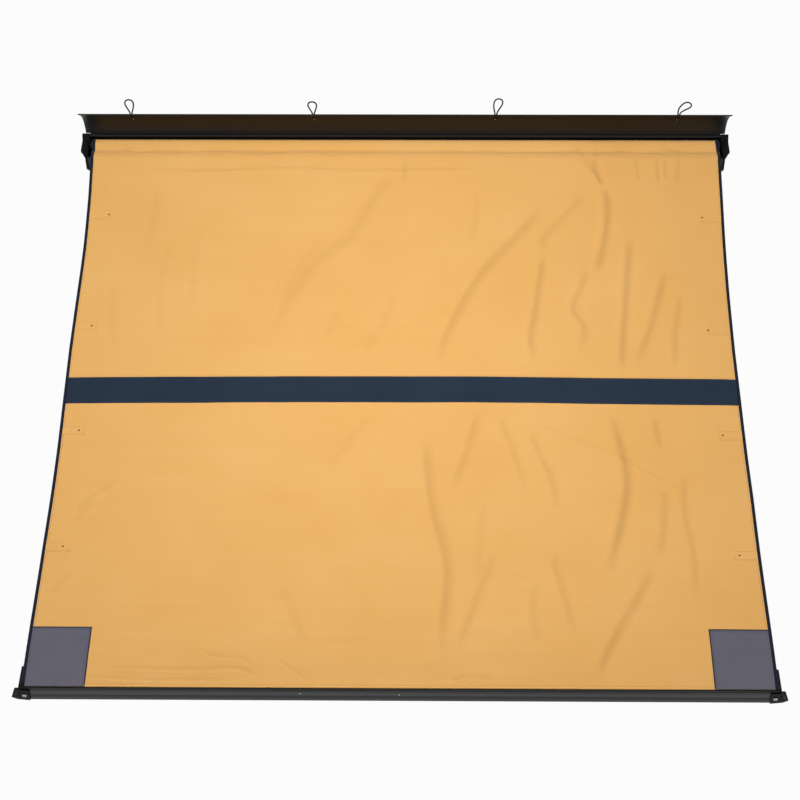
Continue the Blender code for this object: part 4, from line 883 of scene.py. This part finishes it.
def new_tree(name, inputs):
    """A Geometry Nodes tree with named inputs and a material; gives it and its two ends."""
    tree = bpy.data.node_groups.new(name, "GeometryNodeTree")
    sockets = {"Geometry": "Geometry", **inputs, "Material": "Material"}
    tree.interface.new_socket("Geometry", in_out="OUTPUT", socket_type="NodeSocketGeometry")
    for title, kind in sockets.items():
        tree.interface.new_socket(title, in_out="INPUT", socket_type=f"NodeSocket{kind}")
    return tree, add_node(tree, "NodeGroupInput").outputs, add_node(tree, "NodeGroupOutput")


def end_tree(tree, given, result, geometry):
    """Every tree ends alike: real geometry in the given material."""
    real = add_node(tree, "GeometryNodeRealizeInstances", links={"Geometry": geometry})
    dressed = add_node(tree, "GeometryNodeSetMaterial",
                       links={"Geometry": real.outputs[0], "Material": given["Material"]})
    tree.links.new(dressed.outputs[0], result.inputs["Geometry"])
    return tree


def sweep_tree():
    """Path in, bound edge out: a round profile, flattened, swept along the path."""
    tree, given, result = new_tree("edge_binding_sweep", {"Half Width": "Float", "Flatness": "Float",
                                                          "Sides": "Int"})
    ring = add_node(tree, "GeometryNodeCurvePrimitiveCircle",
                    links={"Resolution": given["Sides"], "Radius": given["Half Width"]})
    squeeze = add_node(tree, "ShaderNodeCombineXYZ", {"X": 1.0, "Z": 1.0}, {"Y": given["Flatness"]})
    flat_ring = add_node(tree, "GeometryNodeTransform",
                         links={"Geometry": ring.outputs["Curve"], "Scale": squeeze.outputs[0]})
    swept = add_node(tree, "GeometryNodeCurveToMesh", {"Fill Caps": True},
                     {"Curve": given["Geometry"], "Profile Curve": flat_ring.outputs[0]})
    return end_tree(tree, given, result, swept.outputs[0])


def grown(name, lines, tree, values, material):
    """Run a tree on one or more open paths and keep the result as a plain mesh."""
    curve = bpy.data.curves.new(name, "CURVE")
    curve.dimensions = "3D"
    for line in lines:
        spline = curve.splines.new("POLY")
        spline.points.add(len(line) - 1)
        for point, place in zip(spline.points, line):
            point.co = (*place, 1.0)
    carrier = bpy.data.objects.new(f"{name}_path", curve)
    scene.collection.objects.link(carrier)
    step = carrier.modifiers.new(tree.name, "NODES")
    step.node_group = tree
    values = {**values, "Material": material}
    for item in tree.interface.items_tree:
        if item.in_out == "INPUT" and item.name in values:
            step[item.identifier] = values[item.name]
    ready = carrier.evaluated_get(bpy.context.evaluated_depsgraph_get())
    mesh = bpy.data.meshes.new_from_object(ready)
    mesh.name = name
    carrier.modifiers.remove(step)
    bpy.data.objects.remove(carrier, do_unlink=True)
    return placed(name, mesh, material)


def path_on_cloth(start, end, lift=0.0):
    """Points on the cloth between two flat places (x, d), raised by lift."""
    count = len(steps_between(0.0, math.hypot(end[0] - start[0], end[1] - start[1]), PATH_STEP))
    places = hang(np.linspace(start[0], end[0], count), np.linspace(start[1], end[1], count))
    return [Vector(place) + Vector((0.0, 0.0, lift)) for place in places]


binding_sweep = sweep_tree()
binding_settings = {"Half Width": BINDING_HALF, "Flatness": BINDING_FLATNESS, "Sides": 12}
for side, sign in SIDES:
    edge_x = sign * (CANOPY_WIDTH / 2 - BINDING_HALF)
    for stretch, (start, end) in LIMITS.items():
        bound = grown(f"edge_binding_{stretch}_{side}", [path_on_cloth((edge_x, start), (edge_x, end))],
                      binding_sweep, binding_settings, binding)
        fold_with(bound, stretch, f"edge_piping_{side}" if stretch == "rear" else None)
    bound_x = float(askew(edge_x, 0.0))
    roll_edge = grown(f"edge_binding_roll_{side}", [[Vector((bound_x, y, z)) for y, z in profile]],
                      binding_sweep, binding_settings, binding)
    on_body(roll_edge, "housing")
print("bindings made for", list(LIMITS))

# %% [markdown]
# Stitches. Lock stitch seams hold the strip, the patches, the binding and the front hem. A stitch is a
# small rounded bar lying on the cloth, drawn a little longer than a real one so that it shows. Geometry
# Nodes place them: resample each seam line at the stitch pitch, put a drawn out ball on every point, and
# turn it along the seam. The seams of one stretch of cloth become one plain mesh.

# %% Stitch rows with Geometry Nodes
STITCH = {"Pitch": 0.0050, "Length": 0.0034, "Width": 0.0011}
SEAM_IN = 0.004
SECOND_SEAM = 2.2
HEM_IN = 0.009
BEHIND_LIP = 0.01
on_cloth = CANOPY_THICKNESS / 2
on_strip = on_cloth + STRIP_LIFT
on_patch = on_cloth + CANOPY_THICKNESS + PATCH_THICKNESS / 2
inner = PANEL_HALF - SEAM_IN
patch_inner = PANEL_HALF - PATCH_WIDTH


def stitch_tree():
    """Seam lines in, rows of stitches out."""
    tree, given, result = new_tree("lock_stitches", {title: "Float" for title in STITCH})
    points = add_node(tree, "GeometryNodeResampleCurve", mode="LENGTH",
                      links={"Curve": given["Geometry"], "Length": given["Pitch"]})
    ball = add_node(tree, "GeometryNodeMeshUVSphere", {"Segments": 6, "Rings": 4, "Radius": 0.5})
    size = add_node(tree, "ShaderNodeCombineXYZ",
                    links={"X": given["Width"], "Y": given["Width"], "Z": given["Length"]})
    way = add_node(tree, "GeometryNodeInputTangent")
    turn = add_node(tree, "FunctionNodeAlignRotationToVector", axis="Z", links={"Vector": way.outputs[0]})
    bars = add_node(tree, "GeometryNodeInstanceOnPoints",
                    links={"Points": points.outputs[0], "Instance": ball.outputs[0],
                           "Rotation": turn.outputs[0], "Scale": size.outputs[0]})
    return end_tree(tree, given, result, bars.outputs[0])


def seam_across(d, lift):
    """A row of stitches over the whole width."""
    return path_on_cloth((-inner, d), (inner, d), lift)


stitches = stitch_tree()
seams = {
    ("rear", "ochre"): [seam_across(STRIP_START - SEAM_IN, on_cloth)],
    ("middle", "navy"): [seam_across(STRIP_START + SEAM_IN, on_strip),
                         seam_across(strip_end - SEAM_IN, on_strip)],
    ("front", "ochre"): [seam_across(PROJECTION - HEM_IN, on_cloth)],
    ("front", "navy"): [],
}
for side, sign in SIDES:
    edge = sign * inner
    seams["rear", "ochre"].append(path_on_cloth((edge, BEHIND_LIP), (edge, STRIP_START - SEAM_IN),
                                                on_cloth))
    seams["middle", "navy"].append(path_on_cloth((edge, strip_end), (edge, patch_start), on_cloth))
    for inset in (SEAM_IN, SEAM_IN * SECOND_SEAM):
        x = sign * (patch_inner + inset)
        seams["front", "navy"] += [
            path_on_cloth((x, patch_start + SEAM_IN), (x, PROJECTION - HEM_IN), on_patch),
            path_on_cloth((x, patch_start + inset), (edge, patch_start + inset), on_patch)]
    seams["front", "navy"].append(path_on_cloth((edge, patch_start), (edge, PROJECTION - HEM_IN), on_patch))
for (stretch, colour), lines in seams.items():
    sewn = grown(f"stitches_{stretch}_{colour}", lines, stitches, STITCH,
                 thread_brown if colour == "ochre" else thread_dark)
    fold_with(sewn, stretch)
    print(sewn.name, len(sewn.data.polygons), "faces")

# %% [markdown]
# The lid is one curved extrusion. It turns on a rod along the cassette's back edge and closes over the
# wound cloth. Its section is an arch from the hinge to a rounded lip. The ends are sawn at a slant and
# leave the end caps' round ears free by a millimetre, so no daylight shows between lid and cap.

# %% Lid
LID_ARCH = 0.018
LID_THICKNESS = 0.0022
LID_STEPS = 30
LID_ENDS = ((0.0, 1.0885), (0.25, 1.0900), (0.5, 1.0912), (0.8, 1.0930), (0.93, 1.0958), (1.0, 1.0976))
LID_UP = Vector((0.0, -math.sin(LID_LEAN), math.cos(LID_LEAN)))
LID_OUT = Vector((0.0, math.cos(LID_LEAN), math.sin(LID_LEAN)))
BARREL_RADIUS = 0.0054
BARREL_HALF = 1.0742
BEAD_SIDES = 24
WING_START = 0.036
PLATE_EASE = 0.0004
RIB_AT = 0.10
RIB = {"Half Width": 0.0022, "Flatness": 0.5, "Sides": 12}


def lid_point(x, t, inward=0.0):
    """A place in the middle of the lid's plate; inward moves it towards the wound cloth."""
    arch = LID_ARCH * 4 * t * (1 - t) + (BARREL_RADIUS - LID_THICKNESS / 2) * (1 - t)
    return LID_HINGE + LID_UP * LID_REACH * t + LID_OUT * (arch - inward) + Vector((x, 0.0, 0.0))


def lid_sheet(name, shape, material, thickness, stands_for=None):
    """Thicken an open surface both ways, ease its edges and put it on the lid."""
    piece = placed(name, baked(name, shape), material)
    thick = piece.modifiers.new("plate", "SOLIDIFY")
    thick.thickness, thick.offset, thick.use_even_offset = thickness, 0.0, True
    ease = piece.modifiers.new("eased_edges", "BEVEL")
    ease.width, ease.segments, ease.limit_method = PLATE_EASE, 2, "ANGLE"
    settled(piece, 35)
    on_body(piece, "lid", stands_for)


plate = bmesh.new()
rows = []
for t in (0.0, *np.linspace(WING_START, 1, LID_STEPS)):
    half = float(np.interp(t, *zip(*LID_ENDS)))
    stations = (-BARREL_HALF, BARREL_HALF)
    if t >= WING_START:
        stations = (-half, *stations, half)
    rows.append([plate.verts.new(lid_point(x, t)) for x in stations])
for low, high in zip(rows, rows[1:]):
    skip = (len(high) - len(low)) // 2
    matched = high[skip:len(high) - skip]
    for k in range(len(low) - 1):
        plate.faces.new((low[k], low[k + 1], matched[k + 1], matched[k]))
lid_sheet("lid_plate", plate, powder_black, LID_THICKNESS, "lid_shell")
lip_half = LID_ENDS[-1][1]
for name, centre, half, radius in (("lid_lip", lid_point(0.0, 1.0), lip_half, LID_LIP_RADIUS),
                                   ("lid_barrel", LID_HINGE, BARREL_HALF, BARREL_RADIUS)):
    ends = [centre + Vector((x, 0.0, 0.0)) for x in (-half, half)]
    on_body(tube_along(name, ends, radius, BEAD_SIDES, powder_black)[0], "lid")
rib_line = [lid_point(x, RIB_AT, LID_THICKNESS / 2) for x in (-BARREL_HALF, BARREL_HALF)]
on_body(grown("lid_stiffening_rib", [rib_line], binding_sweep, RIB, powder_black), "lid")
print("lid made; narrowest", LID_ENDS[0][1] * 2, "m, widest", lip_half * 2, "m")

# %% [markdown]
# Rivets and screws. Every elastic loop is held by a small moulded anchor riveted inside the lid's lip,
# the lid carries a stud near each end, and three button head screws hold each end cap. A round head is
# a ball squashed to a low dome and half sunk into the part. A black hexagon just proud of the crown is
# painted shade: it stands for the screw's recessed socket.

# %% Rivets, anchors and cap screws
ANCHOR_REACH = (0.55, 0.975)
ANCHOR_WIDTH = 0.010
ANCHOR_THICKNESS = 0.0014
RIVET_AT = 0.60
RIVET = (0.0027, 0.0013)  # radius and height of each head
SCREW = (0.0046, 0.0013)
STUD_SPOTS = ((-1.076, 0.20), (1.080, 0.17))
CAP_OUTER = 1.1008
CAP_SCREWS = ((-0.011, 0.031), (-0.012, -0.023), (-0.071, 0.030))
SOCKET_SHADE_RADIUS = 0.0020
SOCKET_SHADE_PROUD = 0.00005


def repeated(name, spots, material, smooth_degrees, add, scale=(1.0, 1.0, 1.0), **settings):
    """One small bmesh shape at places that face given ways, as one mesh."""
    shape = bmesh.new()
    for place, way in spots:
        turn = Vector(way).to_track_quat("Z", "Y").to_matrix().to_4x4()
        add(shape, matrix=Matrix.Translation(place) @ turn @ Matrix.Diagonal((*scale, 1.0)), **settings)
    return placed(name, baked(name, shape), material, smooth_degrees)


def heads(name, spots, size, material):
    """Low round heads of one radius and height."""
    return repeated(name, spots, material, 40, bmesh.ops.create_uvsphere, (size[0], size[0], size[1]),
                    u_segments=20, v_segments=10, radius=1.0)


def painted_socket_shade(name, spots, radius):
    """Black hexagons just proud of the crowns of screws, painted shade of their sockets."""
    return repeated(name, spots, nylon, 20, bmesh.ops.create_cone, cap_ends=True, segments=6,
                    radius1=radius, radius2=radius, depth=2 * SOCKET_SHADE_PROUD)


anchor_spots = []
for index in range(len(LOOP_TURNS)):
    x = loop_foot(index).x
    strap = bmesh.new()
    pairs = [[strap.verts.new(lid_point(x + side * ANCHOR_WIDTH / 2, t,
                                        (LID_THICKNESS + ANCHOR_THICKNESS) / 2)) for side in (-1, 1)]
             for t in np.linspace(*ANCHOR_REACH, 9)]
    for low, high in zip(pairs, pairs[1:]):
        strap.faces.new((low[0], low[1], high[1], high[0]))
    lid_sheet(f"loop_anchor_{index + 1}", strap, nylon, ANCHOR_THICKNESS)
    anchor_spots.append((lid_point(x, RIVET_AT, LID_THICKNESS / 2 + ANCHOR_THICKNESS), -LID_OUT))
stud_spots = [(lid_point(x, t, LID_THICKNESS / 2), -LID_OUT) for x, t in STUD_SPOTS]
screw_spots = [(Vector((sign * CAP_OUTER, y, z)), (sign, 0, 0)) for sign in (-1, 1) for y, z in CAP_SCREWS]
crowns = [(place + Vector(way) * SCREW[1], way) for place, way in screw_spots]
on_body(heads("loop_anchor_rivets", anchor_spots, RIVET, zinc), "lid")
on_body(heads("lid_end_studs", stud_spots, RIVET, powder_grey), "lid")
on_body(heads("end_cap_screws", screw_spots, SCREW, zinc), "housing")
# black hexagons on the cap screws' crowns are painted shade of their sockets
on_body(painted_socket_shade("end_cap_screw_socket_shade", crowns, SOCKET_SHADE_RADIUS), "housing")
print("anchors", len(anchor_spots), "cap screws", len(screw_spots))

# %% [markdown]
# Small sewn parts. Eight tabs reinforce the long edges where guy lines are tied: a piece of cloth,
# stitches along three of its sides and a dark eyelet near its inner end. The slate patches have a
# folded navy edge. The front hem is wrapped round a rod and pushed into the rail's groove, which leaves
# a narrow rounded fold along the rail.

# %% Tabs, eyelets, patch edges and hem
TAB_WIDTH = 0.072
TAB_DEPTH = 0.035
TAB_THICKNESS = 0.0005
TAB_SEAM = 0.0035
TABS = {"left": ((0.990, 0.203), (1.002, 0.636), (1.004, 1.034), (1.004, 1.467)),
        "right": ((0.992, 0.212), (0.985, 0.647), (0.995, 1.045), (1.002, 1.488))}
EYELET = (0.0030, 0.0010)
EDGE = {"Half Width": 0.0013, "Flatness": 0.5, "Sides": 8}
HEM = {"Half Width": 0.0026, "Flatness": 0.7, "Sides": 12}
HEM_BACK = 0.0015
hem_row = PROJECTION - HEM_BACK
patch_top = CANOPY_THICKNESS * 1.5 + PATCH_THICKNESS / 2
tab_lift = (CANOPY_THICKNESS + TAB_THICKNESS) / 2 + HAIR
tab_top = CANOPY_THICKNESS / 2 + TAB_THICKNESS + HAIR

eyelets = {"rear": [], "middle": []}
tab_seams = {"rear": [], "middle": []}
for side, sign in SIDES:
    low, high = sorted((sign * PANEL_HALF, sign * (PANEL_HALF - TAB_WIDTH)))
    seam_x = sign * (PANEL_HALF - TAB_WIDTH + TAB_SEAM)
    for number, (eyelet_x, d) in enumerate(TABS[side], 1):
        stretch = "rear" if d < STRIP_START else "middle"
        front, back = d + TAB_DEPTH / 2, d - TAB_DEPTH / 2
        tab = hung_sheet(f"edge_tab_{side}_{number}", (low, high), (back, front), TAB_THICKNESS, tab_lift,
                         ochre)
        fold_with(tab, stretch)
        for start, end in (((low + TAB_SEAM, back + TAB_SEAM), (high - TAB_SEAM, back + TAB_SEAM)),
                           ((low + TAB_SEAM, front - TAB_SEAM), (high - TAB_SEAM, front - TAB_SEAM)),
                           ((seam_x, back + TAB_SEAM), (seam_x, front - TAB_SEAM))):
            tab_seams[stretch].append(path_on_cloth(start, end, tab_top))
        eyelets[stretch].append((hang_one(sign * eyelet_x, d) + Vector((0.0, 0.0, tab_top)), (0, 0, 1)))
for stretch in eyelets:
    fold_with(heads(f"tab_eyelets_{stretch}", eyelets[stretch], EYELET, nylon), stretch)
    fold_with(grown(f"tab_stitches_{stretch}", tab_seams[stretch], stitches, STITCH, thread_brown),
              stretch)

for side, sign in SIDES:
    start, end = sign * (patch_inner + EDGE["Half Width"]), sign * PANEL_HALF
    edge_d = patch_start + EDGE["Half Width"]
    edge_lines = [path_on_cloth((start, edge_d), (end, edge_d), patch_top),
                  path_on_cloth((start, edge_d), (start, hem_row), patch_top)]
    hem_line = path_on_cloth((start, hem_row), (end, hem_row), patch_top)
    fold_with(grown(f"patch_edge_{side}", edge_lines, binding_sweep, EDGE, binding), "front")
    fold_with(grown(f"hem_fold_{side}", [hem_line], binding_sweep, HEM, slate), "front")
hem_line = path_on_cloth((-patch_inner, hem_row), (patch_inner, hem_row), on_cloth)
fold_with(grown("hem_fold_middle", [hem_line], binding_sweep, HEM, ochre), "front")
print("tabs", sum(len(spots) for spots in eyelets.values()), "patch edges and hem folds made")

# %% [markdown]
# The lead rail's small hardware: a clip that locks the hem rod in its groove, two blind rivets that
# hold a stop inside, and black hexagons on the two leg bolts, painted shade of their sockets.

# %% Rail hardware
RAIL_FRONT = GROOVE.y - 0.005
RAIL_TOP = GROOVE.z - CANOPY_THICKNESS / 2
RAIL_RIVETS = ((-0.280, 0.0200), (0.0, 0.0235))
RIVET_SMALL = (0.0021, 0.0009)
CLIP_LOW = Vector((-1.0665, RAIL_FRONT - 0.001, RAIL_TOP - 0.002))
CLIP_SIZE = Vector((0.011, 0.012, 0.011))
CLIP_ROUND = 0.0018
BOLT_SOCKET_SHADE_RADIUS = 0.0026

rivet_spots = [(Vector((x, RAIL_FRONT, RAIL_TOP - down)), (0, -1, 0)) for x, down in RAIL_RIVETS]
on_body(heads("rail_blind_rivets", rivet_spots, RIVET_SMALL, zinc), "lead_rail")
clip = bmesh.new()
bmesh.ops.create_cube(clip, size=1.0, matrix=Matrix.Translation(CLIP_LOW + CLIP_SIZE / 2)
                      @ Matrix.Diagonal((*CLIP_SIZE, 1.0)))
bmesh.ops.bevel(clip, geom=clip.edges[:], offset=CLIP_ROUND, segments=3, profile=0.5, affect="EDGES")
on_body(placed("hem_rod_clip", baked("hem_rod_clip", clip), nylon, 40), "lead_rail")
bolt_crowns = []
for side, sign in SIDES:
    head = frame["nodes"][f"leg_pivot_bolt_{side}"]
    corners = [head.matrix_world @ vert.co for vert in head.data.vertices]
    middle = sum(corners, Vector()) / len(corners)
    bolt_crowns.append((Vector((middle.x, min(corner.y for corner in corners), middle.z)), (0, -1, 0)))
# black hexagons on the leg bolts' crowns are painted shade of their sockets
on_body(painted_socket_shade("leg_bolt_socket_shade", bolt_crowns, BOLT_SOCKET_SHADE_RADIUS), "lead_rail")
print("bolt sockets at", [tuple(round(v, 4) for v in place) for place, way in bolt_crowns])

# %% [markdown]
# The remaining hard parts keep the construction's shape and gain what a camera looks for: eased edges
# that catch the light, smooth shading and the right finish. A copy of each node is merged back into
# clean faces, its sharp edges are bevelled by a few tenths of a millimetre, and it takes the node's
# place on the same body.

# %% Ease the edges of the construction's parts
FINISHES = {"black_aluminium": (powder_black, 0.0005), "grey_aluminium": (powder_grey, 0.0005),
            "black_nylon": (nylon, 0.0006), "steel": (zinc, 0.0004), "tube": (anodised, 0.0003),
            "rubber": (rubber, 0.0006), "ochre_fabric": (ochre, 0.0002)}
FINISH_FOR_NODE = {"roller_tube": powder_grey}
CAP_EASE = 0.0014
MERGE_WITHIN = 0.00002
FLAT_WITHIN = math.radians(0.6)
SHARP_OVER = math.radians(30)
SLOT_OF = {part["node"]: part["material_slot"] for part in frame["record"]["subparts"]}
BODY_OF = {node: body for body, nodes in frame["record"]["behaviour"]["bodies"].items() for node in nodes}


def eased(node):
    """A merged and bevelled copy of a CAD node that takes its place."""
    finish, width = FINISHES[SLOT_OF[node]]
    shape = bmesh.new()
    shape.from_mesh(frame["nodes"][node].data)
    bmesh.ops.transform(shape, matrix=frame["nodes"][node].matrix_world, verts=shape.verts)
    bmesh.ops.remove_doubles(shape, verts=shape.verts, dist=MERGE_WITHIN)
    bmesh.ops.dissolve_limit(shape, angle_limit=FLAT_WITHIN, verts=shape.verts, edges=shape.edges)
    bmesh.ops.recalc_face_normals(shape, faces=shape.faces)
    piece = placed(f"{node}_finished", baked(f"{node}_eased", shape), FINISH_FOR_NODE.get(node, finish), 40)
    bevel = piece.modifiers.new("eased_edges", "BEVEL")
    bevel.width, bevel.segments = (CAP_EASE, 3) if node.startswith("end_cap") else (width, 2)
    bevel.limit_method, bevel.angle_limit = "ANGLE", SHARP_OVER
    settled(piece, 40)
    on_body(piece, BODY_OF[node], node)


done = {node for piece in bpy.data.objects for node in piece.get("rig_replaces", [])}
left_over = [node for node in sorted(frame["nodes"]) if node not in done]
for node in left_over:
    eased(node)
print("eased", len(left_over), "parts")
